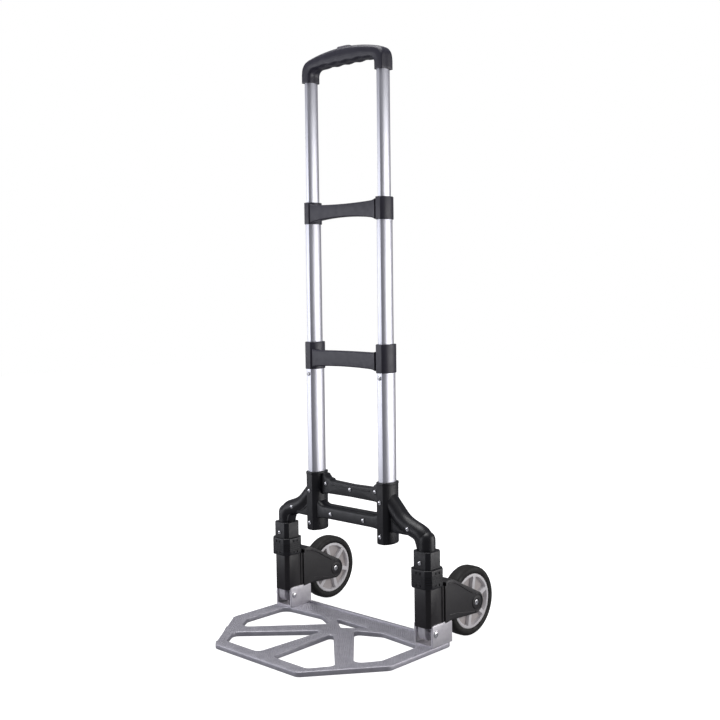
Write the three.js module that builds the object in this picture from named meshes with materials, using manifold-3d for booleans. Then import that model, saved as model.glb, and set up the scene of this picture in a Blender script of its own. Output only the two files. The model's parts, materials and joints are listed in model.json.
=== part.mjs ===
// Folding hand truck: a three-stage telescoping handle, a base frame on two legs, a toe plate that folds
// up, and two wheels on forks that swing inward as the plate folds.
// Millimetres, +Z up, +X to the truck's right seen from behind, -Y towards the toe plate.
import * as THREE from "three";
import { mergeVertices } from "three/addons/utils/BufferGeometryUtils.js";
import Module from "manifold-3d";

const wasm = await Module();
wasm.setup();

// ---- Driving dimensions -------------------------------------------------------------------------
const GAP = 0.3; // between pieces that touch when assembled
const PLAY = 0.4; // between pieces that slide or turn
const FAR = 400; // past every face, for a cut that goes right through

// Telescoping tubes: an oval with a flat front and back
const TUBE_X = 90.5;
const TUBE_Y = -1.3;
const OVAL_WIDTH = 25;
const OVAL_DEPTH = 36;
const OVAL_FLAT = 11;
const TUBE_WALL = 1.8;
const STAGE_STEP = TUBE_WALL + PLAY;
const TOP_TUBE_BOTTOM = 705;
const MID_TUBE_BOTTOM = 445;
const PLUG_LENGTH = 26;
const PLUG_FLANGE = 4.7;
const LOCK_PIN_RADIUS = 3;
const LOCK_PIN_TRAVEL = 2.4;
const LOCK_PIN_SEAT = 1.2;

// Handle
const HANDLE_BOTTOM = 1017;
const HANDLE_CROWN = 1069;
const CROWN_RADIUS = 352;
const HANDLE_WALL = 2.6;
const GRIP_UNDERSIDE = 1040;
const FINGER_PITCH = (TUBE_X - 6.5) / 3;
const FINGER_DEPTH = 1.4;
const GRIP_ROUNDING = 6;
const BUTTON_LENGTH = 32;
const BUTTON_WIDTH = 13;
const BUTTON_CORNER = 5;
const BUTTON_Y = -4.5;
const BUTTON_RISE = 2.6;
const BUTTON_TRAVEL = 3;
const ROD_RADIUS = 2;
const YOKE_WIDTH = 4.4;

// Braces: sleeves round the tubes joined by a plate
const SLEEVE_WALL = 1.6;
const SLEEVE_RIM = 4;
const UPPER_BRACE = { bottom: 756, top: 796.3, barBottom: 759, barTop: 791, arch: 6, dip: 2.5 };
const LOWER_BRACE = { bottom: 484.3, top: 535.6, barBottom: 490, barTop: 520, arch: 2.5, dip: -1 };
const BRACE_BAR_DEPTH = 16;

// Base frame
const SOCKET_TOP = 288.6;
const SOCKET_BOTTOM = 175.9;
const SOCKET_WALL = 3;
const SOCKET_FLOOR = 2.8;
const UPPER_BAR = { bottom: 247, top: 274, front: -5.2, back: 11 };
const LOWER_BAR = { bottom: 202, top: 227, front: -15.2, back: 12 };
const BAR_WALL = 3;
const ARM_RADIUS = 16;
const ARM_ROUNDING = 6;

// Legs, forks and wheels
const LEG_X = 180;
const POST_RADIUS = 12;
const POST_WALL = 2.2;
const POST_TOP = 215 - POST_RADIUS; // stays under the arm's rounded elbow
const SLEEVE_TOP = 177.9;
const COLLAR_TOP = 147.2;
const COLLAR_BOTTOM = 113.2;
const SLEEVE_RADIUS = 19.5;
const COLLAR_RADIUS = 24;
const COLLAR_RIBS = 16;
const HOUSING_RADIUS = 19;
const WHEEL_RADIUS = 63.5;
const AXLE_Y = 112.5;
const HUB_RADIUS = WHEEL_RADIUS - 13.3;
const HUB_RIM = 4.5;
const HUB_HALF_WIDTH = 12.1;
const TYRE_HALF_WIDTH = 13.5;
const SPOKES = 6;
const SPOKE_WIDTH = 7;
const PANEL_DEPTH = 6;
const PANEL_INNER = 15;
const AXLE_RADIUS = 4;
const AXLE_HEAD_RADIUS = 5.2;
const AXLE_HEAD_DEPTH = 1.7;
const BUSH_RADIUS = 7;
const FORK_HALF_WIDTH = 22.6;
const FORK_CHEEK = 4;
const FORK_NOSE_RADIUS = 20;
const FORK_BOSS = 1;

// Toe plate and its hinges
const PLATE_TOP = 9;
const PLATE_WALL = 3;
const PLATE_FRONT = 246;
const PLATE_FRONT_HALF = 106;
const PLATE_HALF_WIDTH = LEG_X + 22;
const PLATE_SHOULDER = PLATE_FRONT - 124;
const PLATE_BACK = 44;
const LIP_TOP = 12.5;
const LIP_DEPTH = 6;
const HINGE_Y = -3.5;
const HINGE_Z = 32.5;
const HINGE_PIN_RADIUS = 4;
const HINGE_HEAD_RADIUS = 5.8;
const HINGE_HEAD_HEIGHT = 2.1;
const CHEEK_INNER = 17.5;
const CHEEK_OUTER = 21.5;
const CHEEK_BACK = 43;
const CHEEK_TOP_RADIUS = 16.1;
const TONGUE_HALF_WIDTH = 8;
const TONGUE_RADIUS = 13;
const HOUSING_BOTTOM = HINGE_Z + CHEEK_TOP_RADIUS + 0.5;

// Screws
const SCREW_HEAD_RADIUS = 3.8;
const SCREW_HEAD_HEIGHT = 2.1;
const SCREW_RADIUS = 1.6;
const SCREW_LENGTH = 14;
const TOWER_RADIUS = 4;

// ---- Materials ----------------------------------------------------------------------------------
const paint = (color, roughness, metalness) =>
  new THREE.MeshStandardMaterial({ color, roughness, metalness });
const blackPlastic = paint(0x17171c, 0.45, 0);
const greyPlastic = paint(0x4a4856, 0.5, 0);
const nylon = paint(0x2b2b2e, 0.6, 0);
const tubeMetal = paint(0xc9c8d2, 0.32, 1);
const plateMetal = paint(0xa5a2ac, 0.45, 0.9);
const castMetal = paint(0xb9b4b9, 0.45, 0.9);
const steel = paint(0xd0d0d4, 0.25, 1);
const hubPlastic = paint(0xc8c3c3, 0.4, 0);
const rubber = paint(0x191614, 0.8, 0);

// ---- Solids -------------------------------------------------------------------------------------
// A closed geometry as a manifold-3d solid.
function solid(geometry) {
  geometry.deleteAttribute("normal");
  geometry.deleteAttribute("uv");
  const merged = mergeVertices(geometry, 1e-3);
  const index = merged.index.array;
  const kept = [];
  for (let i = 0; i < index.length; i += 3) {
    const [a, b, c] = index.slice(i, i + 3);
    if (a !== b && b !== c && c !== a) kept.push(a, b, c);
  }
  return new wasm.Manifold(
    new wasm.Mesh({
      numProp: 3,
      vertProperties: merged.getAttribute("position").array,
      triVerts: new Uint32Array(kept),
    }),
  );
}

const join = (...solids) => solids.reduce((all, next) => all.add(next));
const cut = (body, ...tools) => tools.reduce((left, tool) => left.subtract(tool), body);

function meshOf(name, body, material) {
  const { vertProperties, triVerts } = body.getMesh();
  const geometry = new THREE.BufferGeometry();
  geometry.setAttribute("position", new THREE.BufferAttribute(vertProperties, 3));
  geometry.setIndex(new THREE.BufferAttribute(triVerts, 1));
  geometry.computeVertexNormals();
  const mesh = new THREE.Mesh(geometry, material);
  mesh.name = name;
  return mesh;
}

const shapeOf = (points) => new THREE.Shape(points.map(([x, y]) => new THREE.Vector2(x, y)));

// An outline in XY extruded along Z, in XZ extruded along Y, or in YZ extruded along X. A rounding
// softens both end edges without passing the outline.
function extrude(points, from, to, rounding = 0) {
  const bevel = {
    bevelEnabled: rounding > 0,
    bevelThickness: rounding,
    bevelSize: rounding,
    bevelOffset: -rounding,
    bevelSegments: 2,
  };
  const depth = to - from - 2 * rounding;
  const geometry = new THREE.ExtrudeGeometry(shapeOf(points), { depth, ...bevel });
  return geometry.translate(0, 0, from + rounding);
}

const extrudeZ = (points, from, to) => solid(extrude(points, from, to));
const extrudeY = (points, from, to, rounding) =>
  solid(extrude(points, -to, -from, rounding).rotateX(Math.PI / 2));
const ALONG_X = new THREE.Matrix4().makeBasis(
  new THREE.Vector3(0, 1, 0),
  new THREE.Vector3(0, 0, 1),
  new THREE.Vector3(1, 0, 0),
);
const extrudeX = (points, from, to, rounding) =>
  solid(extrude(points, from, to, rounding).applyMatrix4(ALONG_X));

function box(x0, x1, y0, y1, z0, z1) {
  const geometry = new THREE.BoxGeometry(x1 - x0, y1 - y0, z1 - z0);
  return solid(geometry.translate((x0 + x1) / 2, (y0 + y1) / 2, (z0 + z1) / 2));
}

// Cylinders of a radius about a line along each axis; the ends along X may come in either order.
function cylinderZ(radius, x, y, z0, z1, sides = 18) {
  const geometry = new THREE.CylinderGeometry(radius, radius, z1 - z0, sides);
  return solid(geometry.rotateX(Math.PI / 2).translate(x, y, (z0 + z1) / 2));
}
function cylinderX(radius, x0, x1, y, z, sides = 18) {
  const geometry = new THREE.CylinderGeometry(radius, radius, Math.abs(x1 - x0), sides);
  return solid(geometry.rotateZ(Math.PI / 2).translate((x0 + x1) / 2, y, z));
}
function cylinderY(radius, x, y0, y1, z, sides = 8) {
  const geometry = new THREE.CylinderGeometry(radius, radius, y1 - y0, sides);
  return solid(geometry.translate(x, (y0 + y1) / 2, z));
}

// A body split across Y into a front and a back half.
const halves = (body, y) => [
  body.intersect(box(-FAR, FAR, -FAR, y - GAP / 2, 0, HANDLE_CROWN + 1)),
  body.intersect(box(-FAR, FAR, y + GAP / 2, FAR, 0, HANDLE_CROWN + 1)),
];

// A ring turned about the X axis from points [distance along X, radius].
function turnX(profile, x, y, z, sides = 30) {
  const points = profile.map(([along, radius]) => new THREE.Vector2(radius, along));
  const geometry = new THREE.LatheGeometry(points, sides);
  return solid(geometry.rotateZ(-Math.PI / 2).translate(x, y, z));
}

// A polygon whose corners [x, y, radius] are rounded. The corners run anticlockwise, and grow moves
// every side outwards.
const CORNER_STEPS = 3;
function rounded(corners, grow = 0) {
  const count = corners.length;
  const at = (i) => corners[(i + count) % count];
  const side = (i) => {
    const [x0, y0] = at(i);
    const [x1, y1] = at(i + 1);
    const length = Math.hypot(x1 - x0, y1 - y0);
    const dx = (x1 - x0) / length;
    const dy = (y1 - y0) / length;
    return { x: x0 + dy * grow, y: y0 - dx * grow, dx, dy };
  };
  const points = [];
  for (let i = 0; i < count; i++) {
    const before = side(i - 1);
    const after = side(i);
    const turn = before.dx * after.dy - before.dy * after.dx;
    const t = ((after.x - before.x) * after.dy - (after.y - before.y) * after.dx) / turn;
    const x = before.x + before.dx * t;
    const y = before.y + before.dy * t;
    const radius = Math.max(at(i)[2] + Math.sign(turn) * grow, 0);
    const bend = Math.atan2(turn, before.dx * after.dx + before.dy * after.dy);
    if (radius < 0.2) {
      points.push([x, y]);
      continue;
    }
    const back = radius * Math.tan(Math.abs(bend) / 2);
    const way = Math.sign(bend);
    const cx = x - before.dx * back - before.dy * radius * way;
    const cy = y - before.dy * back + before.dx * radius * way;
    const start = Math.atan2(-before.dx * way, before.dy * way);
    for (let k = 0; k <= CORNER_STEPS; k++) {
      const angle = start + (bend * k) / CORNER_STEPS;
      points.push([cx + radius * Math.cos(angle), cy + radius * Math.sin(angle)]);
    }
  }
  return points;
}

// The tube section, moved in from the base tube's surface by an inset.
const OVAL_STEPS = 8;
function oval(inset, x = 0, y = 0) {
  const width = OVAL_WIDTH - 2 * inset;
  const depth = OVAL_DEPTH - 2 * inset;
  const flat = OVAL_FLAT - inset;
  const end = Math.acos(flat / width);
  const reach = depth / 2 / Math.sin(end);
  const points = [];
  for (const side of [1, -1])
    for (let k = 0; k <= OVAL_STEPS; k++) {
      const angle = end * ((2 * k) / OVAL_STEPS - 1);
      points.push([x + side * (width / 2) * Math.cos(angle), y + side * reach * Math.sin(angle)]);
    }
  return points;
}
const tube = (inset, x, z0, z1) => extrudeZ(oval(inset, x, TUBE_Y), z0, z1);

const truck = new THREE.Group();
const add = (name, body, material) => truck.add(meshOf(name, body, material));
const SIDES = [
  ["left", -1],
  ["right", 1],
];

// ---- Screws -------------------------------------------------------------------------------------
// A pan-head screw driven towards +Y (way 1) or -Y (way -1), with its head on the face at y.
function screw(x, y, z, length, way = 1) {
  const head = [
    [0, SCREW_HEAD_RADIUS],
    [0.5 * SCREW_HEAD_HEIGHT, SCREW_HEAD_RADIUS],
    [SCREW_HEAD_HEIGHT, 0.5 * SCREW_HEAD_RADIUS],
    [SCREW_HEAD_HEIGHT, 0],
  ];
  const profile = [[-length, 0], [-length, SCREW_RADIUS], [0, SCREW_RADIUS], ...head];
  const points = profile.map(([along, radius]) => new THREE.Vector2(radius, along));
  const geometry = new THREE.LatheGeometry(points, 8).rotateZ(way > 0 ? Math.PI : 0);
  return solid(geometry.translate(x, y - way * GAP, z));
}
const screwHole = (x, y0, y1, z) => cylinderY(SCREW_RADIUS + GAP, x, y0, y1, z, 8);

// ---- Telescoping tubes --------------------------------------------------------------------------
const MID_INSET = STAGE_STEP;
const TOP_INSET = 2 * STAGE_STEP;
const TOP_TUBE_TOP = GRIP_UNDERSIDE;
const MID_TUBE_TOP = UPPER_BRACE.top - SLEEVE_RIM - GAP;
const BASE_TUBE_TOP = LOWER_BRACE.top - SLEEVE_RIM - GAP;
const BASE_TUBE_BOTTOM = SOCKET_BOTTOM + SOCKET_FLOOR + GAP;
const LOCK_PIN_Z = TOP_TUBE_BOTTOM + PLUG_LENGTH / 2 - PLUG_FLANGE / 2;
const ROD_SEAT = LOCK_PIN_Z + LOCK_PIN_RADIUS + 1;
const STOP_SCREW_Z = LOWER_BRACE.bottom - 9;
const SOCKET_SCREWS_Z = [SOCKET_TOP - 36, SOCKET_BOTTOM + 15];
const BASE_FRONT = TUBE_Y - OVAL_DEPTH / 2;

const hollow = (inset, x, z0, z1) =>
  cut(tube(inset, x, z0, z1), tube(inset + TUBE_WALL, x, z0 - 1, z1 + 1));

// A nylon plug in the lower end of a tube, with a flange that guides it in the next tube.
function plug(inset, x, tubeBottom) {
  const body = tube(inset + TUBE_WALL + GAP, x, tubeBottom - GAP - 1, tubeBottom + PLUG_LENGTH);
  const flange = tube(inset - PLAY / 2, x, tubeBottom - GAP - PLUG_FLANGE, tubeBottom - GAP);
  return join(body, flange);
}

function tubes() {
  for (const [side, s] of SIDES) {
    const x = s * TUBE_X;
    const pin = (radius, from, to) => cylinderX(radius, from, to, TUBE_Y, LOCK_PIN_Z, 16);
    const topFace = x + s * (OVAL_WIDTH / 2 - TOP_INSET);
    const seat = x + s * LOCK_PIN_SEAT;
    add(
      "top_tube_" + side,
      cut(
        hollow(TOP_INSET, x, TOP_TUBE_BOTTOM, TOP_TUBE_TOP),
        pin(LOCK_PIN_RADIUS + PLAY, x, x + s * OVAL_WIDTH),
      ),
      tubeMetal,
    );
    const plugTop = TOP_TUBE_BOTTOM + PLUG_LENGTH;
    const rodBore = cylinderZ(ROD_RADIUS + PLAY, x, TUBE_Y, ROD_SEAT, plugTop + 1, 12);
    const pinEnd = seat - s * (LOCK_PIN_TRAVEL + 1);
    const pinBore = pin(LOCK_PIN_RADIUS + PLAY, pinEnd, x + s * OVAL_WIDTH);
    add("top_plug_" + side, cut(plug(TOP_INSET, x, TOP_TUBE_BOTTOM), rodBore, pinBore), nylon);
    add("lock_pin_" + side, pin(LOCK_PIN_RADIUS, seat, topFace - s * GAP), steel);
    add("mid_tube_" + side, hollow(MID_INSET, x, MID_TUBE_BOTTOM, MID_TUBE_TOP), tubeMetal);
    add("mid_plug_" + side, plug(MID_INSET, x, MID_TUBE_BOTTOM), nylon);

    const screwHoles = [...SOCKET_SCREWS_Z, STOP_SCREW_Z].map((z) =>
      screwHole(x, BASE_FRONT - 1, BASE_FRONT + 4, z),
    );
    const baseTube = hollow(0, x, BASE_TUBE_BOTTOM, BASE_TUBE_TOP);
    add("base_tube_" + side, cut(baseTube, ...screwHoles), tubeMetal);
    add("stop_screw_" + side, screw(x, BASE_FRONT, STOP_SCREW_Z, TUBE_WALL - GAP), steel);
  }
}

// ---- Handle -------------------------------------------------------------------------------------
const HANDLE_INSET = TOP_INSET - GAP - 1.7;
const HANDLE_HALF_DEPTH = OVAL_DEPTH / 2 - HANDLE_INSET;
const LEG_HALF_WIDTH = OVAL_WIDTH / 2 - HANDLE_INSET;
const HANDLE_HALF_WIDTH = TUBE_X + LEG_HALF_WIDTH;
const ARCH_HALF_WIDTH = TUBE_X - LEG_HALF_WIDTH;
const SHOULDER_RADIUS = 15;
const ARCH_RADIUS = 13;
const YOKE_BOTTOM = 1047.5;
const YOKE_TOP = 1051;
const CAVITY_FLOOR = GRIP_UNDERSIDE + FINGER_DEPTH + 2;
const HANDLE_SCREW_X = TUBE_X - 30.5;
const HANDLE_SCREW_LENGTH = 20;

const crown = (x, drop = 0) =>
  HANDLE_CROWN - drop - CROWN_RADIUS + Math.sqrt(CROWN_RADIUS ** 2 - x ** 2);
const spread = (from, to, steps) =>
  Array.from({ length: steps + 1 }, (_, i) => from + ((to - from) * i) / steps);

function handleOutline() {
  const turnX0 = HANDLE_HALF_WIDTH - SHOULDER_RADIUS;
  const turnZ0 = crown(HANDLE_HALF_WIDTH) - SHOULDER_RADIUS + 3;
  const shoulder = spread(0, 72, 5).map((angle) => {
    const a = THREE.MathUtils.degToRad(angle);
    return [turnX0 + SHOULDER_RADIUS * Math.cos(a), turnZ0 + SHOULDER_RADIUS * Math.sin(a)];
  });
  const last = shoulder[shoulder.length - 1][0] - 4;
  const right = [[HANDLE_HALF_WIDTH, HANDLE_BOTTOM], ...shoulder];
  const archEnd = ARCH_HALF_WIDTH - ARCH_RADIUS;
  const arch = spread(90, 0, 4).map((angle) => {
    const a = THREE.MathUtils.degToRad(angle);
    return [
      -archEnd - ARCH_RADIUS * Math.cos(a),
      GRIP_UNDERSIDE - ARCH_RADIUS + ARCH_RADIUS * Math.sin(a),
    ];
  });
  const fingers = spread(-2 * FINGER_PITCH, 2 * FINGER_PITCH, 16).map((x) => [
    x,
    GRIP_UNDERSIDE + (FINGER_DEPTH * (1 - Math.cos((2 * Math.PI * x) / FINGER_PITCH))) / 2,
  ]);
  const mirror = (points) => points.map(([x, z]) => [-x, z]).reverse();
  return [
    ...right,
    ...spread(last, -last, 12).map((x) => [x, crown(x)]),
    ...mirror(right),
    [-ARCH_HALF_WIDTH, HANDLE_BOTTOM],
    ...[...arch].reverse(),
    ...fingers,
    ...mirror([...arch].reverse()),
    [ARCH_HALF_WIDTH, HANDLE_BOTTOM],
  ];
}

function handleCavity() {
  const end = TUBE_X + 4;
  const top = spread(end, -end, 10).map((x) => [x, crown(x, HANDLE_WALL)]);
  const outline = [...top, [-end, CAVITY_FLOOR], [end, CAVITY_FLOOR]];
  const half = HANDLE_HALF_DEPTH - HANDLE_WALL - 2;
  return extrudeY(outline, TUBE_Y - half, TUBE_Y + half);
}

function handle() {
  const front = TUBE_Y - HANDLE_HALF_DEPTH;
  const back = TUBE_Y + HANDLE_HALF_DEPTH;
  const x0 = -BUTTON_LENGTH / 2;
  const slot = box(
    x0 - PLAY,
    -x0 + PLAY,
    BUTTON_Y - BUTTON_WIDTH / 2 - PLAY,
    BUTTON_Y + BUTTON_WIDTH / 2 + PLAY,
    HANDLE_CROWN - 12,
    HANDLE_CROWN + 5,
  );
  const pockets = SIDES.map(([, s]) =>
    tube(TOP_INSET - GAP, s * TUBE_X, HANDLE_BOTTOM - 1, TOP_TUBE_TOP + GAP),
  );
  const wells = SIDES.map(([, s]) =>
    tube(TOP_INSET + TUBE_WALL, s * TUBE_X, HANDLE_BOTTOM, CAVITY_FLOOR + 1),
  );
  const screwZ = crown(HANDLE_SCREW_X) - 7;
  const towers = SIDES.map(([, s]) =>
    cylinderY(TOWER_RADIUS, s * HANDLE_SCREW_X, front + 3, back - 3, screwZ, 16),
  );
  const holes = SIDES.map(([, s]) => screwHole(s * HANDLE_SCREW_X, TUBE_Y - 8, back + 3, screwZ));
  const shell = extrudeY(handleOutline(), front, back, GRIP_ROUNDING);
  const hollowed = cut(shell, cut(handleCavity(), ...towers), slot, ...pockets, ...wells, ...holes);
  const [frontHalf, backHalf] = halves(hollowed, TUBE_Y);
  add("handle_front_shell", frontHalf, greyPlastic);
  add("handle_rear_shell", backHalf, greyPlastic);
  for (const [side, s] of SIDES) {
    const body = screw(s * HANDLE_SCREW_X, back, screwZ, HANDLE_SCREW_LENGTH, -1);
    add("handle_screw_" + side, body, steel);
  }
}

// The button, the yoke it pushes down, and the spring that returns them.
const SPRING_RADIUS = 4;
const SPRING_WIRE = 0.5;
const SPRING_TURNS = 4;
const SPRING_POCKET_TOP = HANDLE_CROWN - 9;
function release() {
  const half = BUTTON_LENGTH / 2;
  const corners = [
    [-half, BUTTON_Y - BUTTON_WIDTH / 2, BUTTON_CORNER],
    [half, BUTTON_Y - BUTTON_WIDTH / 2, BUTTON_CORNER],
    [half, BUTTON_Y + BUTTON_WIDTH / 2, BUTTON_CORNER],
    [-half, BUTTON_Y + BUTTON_WIDTH / 2, BUTTON_CORNER],
  ];
  const pocketRadius = SPRING_RADIUS + SPRING_WIRE + PLAY;
  const pocket = cylinderZ(pocketRadius, 0, BUTTON_Y, YOKE_BOTTOM - 1, SPRING_POCKET_TOP);
  const key = extrudeZ(rounded(corners), YOKE_TOP + GAP, HANDLE_CROWN + BUTTON_RISE);
  add("release_button", cut(key, pocket), greyPlastic);

  const end = TUBE_X + ROD_RADIUS + 1;
  const yokeFront = TUBE_Y - YOKE_WIDTH / 2;
  const bar = box(-end, end, yokeFront, yokeFront + YOKE_WIDTH, YOKE_BOTTOM, YOKE_TOP);
  const pad = cylinderZ(pocketRadius + 2, 0, BUTTON_Y, YOKE_BOTTOM, YOKE_TOP);
  const rods = SIDES.map(([, s]) =>
    cylinderZ(ROD_RADIUS, s * TUBE_X, TUBE_Y, ROD_SEAT + BUTTON_TRAVEL + GAP, YOKE_TOP, 8),
  );
  add("release_yoke", cut(join(bar, pad, ...rods), pocket), steel);

  const bottom = CAVITY_FLOOR + GAP + SPRING_WIRE;
  const height = SPRING_POCKET_TOP - GAP - SPRING_WIRE - bottom;
  class Helix extends THREE.Curve {
    getPoint(t, target = new THREE.Vector3()) {
      const angle = 2 * Math.PI * SPRING_TURNS * t;
      const x = SPRING_RADIUS * Math.cos(angle);
      const y = BUTTON_Y + SPRING_RADIUS * Math.sin(angle);
      return target.set(x, y, bottom + height * t);
    }
  }
  const wire = rounded([
    [-SPRING_WIRE, -SPRING_WIRE, SPRING_WIRE],
    [SPRING_WIRE, -SPRING_WIRE, SPRING_WIRE],
    [SPRING_WIRE, SPRING_WIRE, SPRING_WIRE],
    [-SPRING_WIRE, SPRING_WIRE, SPRING_WIRE],
  ]).filter((_, i) => i % 2 === 0);
  const options = { steps: 10 * SPRING_TURNS, bevelEnabled: false, extrudePath: new Helix() };
  add("button_spring", solid(new THREE.ExtrudeGeometry(shapeOf(wire), options)), steel);
}

// ---- Braces -------------------------------------------------------------------------------------
// Two sleeves on a pair of tubes, with an arched plate between them flush with the sleeves' fronts.
function brace(name, size, inset) {
  const outer = inset - GAP - SLEEVE_WALL;
  const front = TUBE_Y - OVAL_DEPTH / 2 + outer;
  const reach = TUBE_X - OVAL_WIDTH / 2 + outer + 3;
  const bow = (x) => 1 - (x / reach) ** 2;
  const top = spread(reach, -reach, 8).map((x) => [x, size.barTop - size.dip * bow(x)]);
  const bottom = spread(-reach, reach, 8).map((x) => [x, size.barBottom + size.arch * bow(x)]);
  const bar = extrudeY([...top, ...bottom], front + 0.6, front + 0.6 + BRACE_BAR_DEPTH);
  const sleeves = SIDES.map(([, s]) => tube(outer, s * TUBE_X, size.bottom, size.top));
  const bores = SIDES.map(([, s]) =>
    tube(inset - GAP, s * TUBE_X, size.bottom - 1, size.top - SLEEVE_RIM),
  );
  const rims = SIDES.map(([, s]) =>
    tube(inset + TUBE_WALL, s * TUBE_X, size.bottom, size.top + 1),
  );
  add(name, cut(join(bar, ...sleeves), ...bores, ...rims), greyPlastic);
}

// ---- Base frame ---------------------------------------------------------------------------------
const SOCKET_INSET = -GAP - SOCKET_WALL;
const SOCKET_FRONT = TUBE_Y - OVAL_DEPTH / 2 + SOCKET_INSET;
const FRAME_SPLIT_Y = TUBE_Y + 3;
const ARM_BOTTOM = 200;
const UPPER_SCREW_X = TUBE_X - 27.2;
const LOWER_SCREW_X = TUBE_X - 48.6;
const ARM_SCREW_X = LEG_X - 31.1;
const ARM_SCREW_Z = 212.5;

// A hollow bar between the sockets.
function crossbar({ bottom, top, front, back }) {
  const corners = [
    [front, bottom, 3],
    [back, bottom, 3],
    [back, top, 6],
    [front, top, 6],
  ];
  const end = TUBE_X - OVAL_WIDTH / 2 + SOCKET_INSET;
  return {
    outside: extrudeX(rounded(corners), -end - 8, end + 8),
    inside: extrudeX(rounded(corners, -BAR_WALL), -end + BAR_WALL, end - BAR_WALL),
  };
}

// The arm from a socket out and down to the top of a leg.
function arm(s) {
  const legIn = LEG_X - ARM_RADIUS;
  const legOut = LEG_X + ARM_RADIUS;
  const corners = [
    [TUBE_X + 8, ARM_BOTTOM, 0],
    [legIn, ARM_BOTTOM, 15],
    [legIn, SLEEVE_TOP + GAP, 0],
    [legOut, SLEEVE_TOP + GAP, 0],
    [legOut, ARM_BOTTOM + 12, 24],
    [LEG_X - 40, ARM_BOTTOM + 32, 30],
    [TUBE_X + 8, SOCKET_TOP - 13, 0],
  ];
  const outline = rounded(corners).map(([x, z]) => [s * x, z]);
  if (s < 0) outline.reverse();
  const body = extrudeY(outline, -ARM_RADIUS + 1, ARM_RADIUS - 1, ARM_ROUNDING);
  const end = cylinderZ(ARM_RADIUS, s * LEG_X, 0, SLEEVE_TOP + GAP, ARM_BOTTOM);
  return join(body, end);
}

function frame() {
  const sockets = SIDES.map(([, s]) => tube(SOCKET_INSET, s * TUBE_X, SOCKET_BOTTOM, SOCKET_TOP));
  const bores = SIDES.map(([, s]) =>
    tube(-GAP, s * TUBE_X, SOCKET_BOTTOM + SOCKET_FLOOR, SOCKET_TOP + 1),
  );
  const drains = SIDES.map(([, s]) =>
    cylinderZ(5, s * TUBE_X, TUBE_Y, SOCKET_BOTTOM - 1, BASE_TUBE_BOTTOM),
  );
  const posts = SIDES.map(([, s]) =>
    cylinderZ(POST_RADIUS + GAP, s * LEG_X, 0, SLEEVE_TOP - 1, POST_TOP + GAP),
  );
  const bars = [crossbar(UPPER_BAR), crossbar(LOWER_BAR)];
  const arms = SIDES.map(([, s]) => arm(s));
  const upperMiddle = (UPPER_BAR.bottom + UPPER_BAR.top) / 2;
  const lowerMiddle = (LOWER_BAR.bottom + LOWER_BAR.top) / 2;
  const screws = [
    ["upper_bar_screw_left", -UPPER_SCREW_X, UPPER_BAR.front, upperMiddle + 6],
    ["upper_bar_screw_centre", 0, UPPER_BAR.front, upperMiddle + 2],
    ["upper_bar_screw_right", UPPER_SCREW_X, UPPER_BAR.front, upperMiddle + 6],
    ["lower_bar_screw_left", -LOWER_SCREW_X, LOWER_BAR.front, lowerMiddle - 2],
    ["lower_bar_screw_right", LOWER_SCREW_X, LOWER_BAR.front, lowerMiddle - 2],
    ["arm_screw_left", -ARM_SCREW_X, -ARM_RADIUS + 1, ARM_SCREW_Z],
    ["arm_screw_right", ARM_SCREW_X, -ARM_RADIUS + 1, ARM_SCREW_Z],
  ];
  const towers = screws.map(([, x, y, z]) =>
    cylinderY(TOWER_RADIUS, x, y + 1, UPPER_BAR.back - 1, z),
  );
  const holes = screws.map(([, x, y, z]) => screwHole(x, y - 1, y + SCREW_LENGTH + GAP, z));
  const socketHoles = SIDES.flatMap(([, s]) =>
    SOCKET_SCREWS_Z.map((z) => screwHole(s * TUBE_X, SOCKET_FRONT - 1, SOCKET_FRONT + 5, z)),
  );
  const outside = join(...sockets, ...bars.map((bar) => bar.outside), ...arms);
  const inside = bars.map((bar) => cut(bar.inside, ...towers));
  const whole = cut(outside, ...inside, ...bores, ...drains, ...posts, ...holes, ...socketHoles);
  const [frontHalf, backHalf] = halves(whole, FRAME_SPLIT_Y);
  add("frame_front_shell", frontHalf, blackPlastic);
  add("frame_rear_shell", backHalf, blackPlastic);
  for (const [name, x, y, z] of screws) add(name, screw(x, y, z, SCREW_LENGTH), steel);
  for (const [side, s] of SIDES)
    SOCKET_SCREWS_Z.forEach((z, i) => {
      const length = SOCKET_WALL + TUBE_WALL - GAP;
      const name = ["socket_upper_screw_", "socket_lower_screw_"][i] + side;
      add(name, screw(s * TUBE_X, SOCKET_FRONT, z, length), steel);
    });
}

// ---- Legs ---------------------------------------------------------------------------------------
const THRUST_RING = { bottom: HOUSING_BOTTOM - 3.5, top: HOUSING_BOTTOM - PLAY, radius: 16.5 };
const COLLAR_SCREW_Z = 158;

// The fixed collar under an arm: a plain sleeve above a ribbed grip ring.
function collar(s) {
  const x = s * LEG_X;
  const ribs = Array.from({ length: COLLAR_RIBS }, (_, i) => {
    const angle = (2 * Math.PI * i) / COLLAR_RIBS;
    const cx = x + (COLLAR_RADIUS + 0.6) * Math.cos(angle);
    const cy = (COLLAR_RADIUS + 0.6) * Math.sin(angle);
    return cylinderZ(1.3, cx, cy, COLLAR_BOTTOM - 1, COLLAR_TOP + 1, 4);
  });
  const sleeve = cylinderZ(SLEEVE_RADIUS, x, 0, COLLAR_TOP - 1, SLEEVE_TOP, 20);
  const ring = cut(cylinderZ(COLLAR_RADIUS, x, 0, COLLAR_BOTTOM, COLLAR_TOP, 32), ...ribs);
  const bore = cylinderZ(POST_RADIUS + GAP, x, 0, COLLAR_BOTTOM - 1, SLEEVE_TOP + 1);
  const hole = screwHole(x, -SLEEVE_RADIUS - 1, -POST_RADIUS, COLLAR_SCREW_Z);
  return cut(join(sleeve, ring), bore, hole);
}

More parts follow.
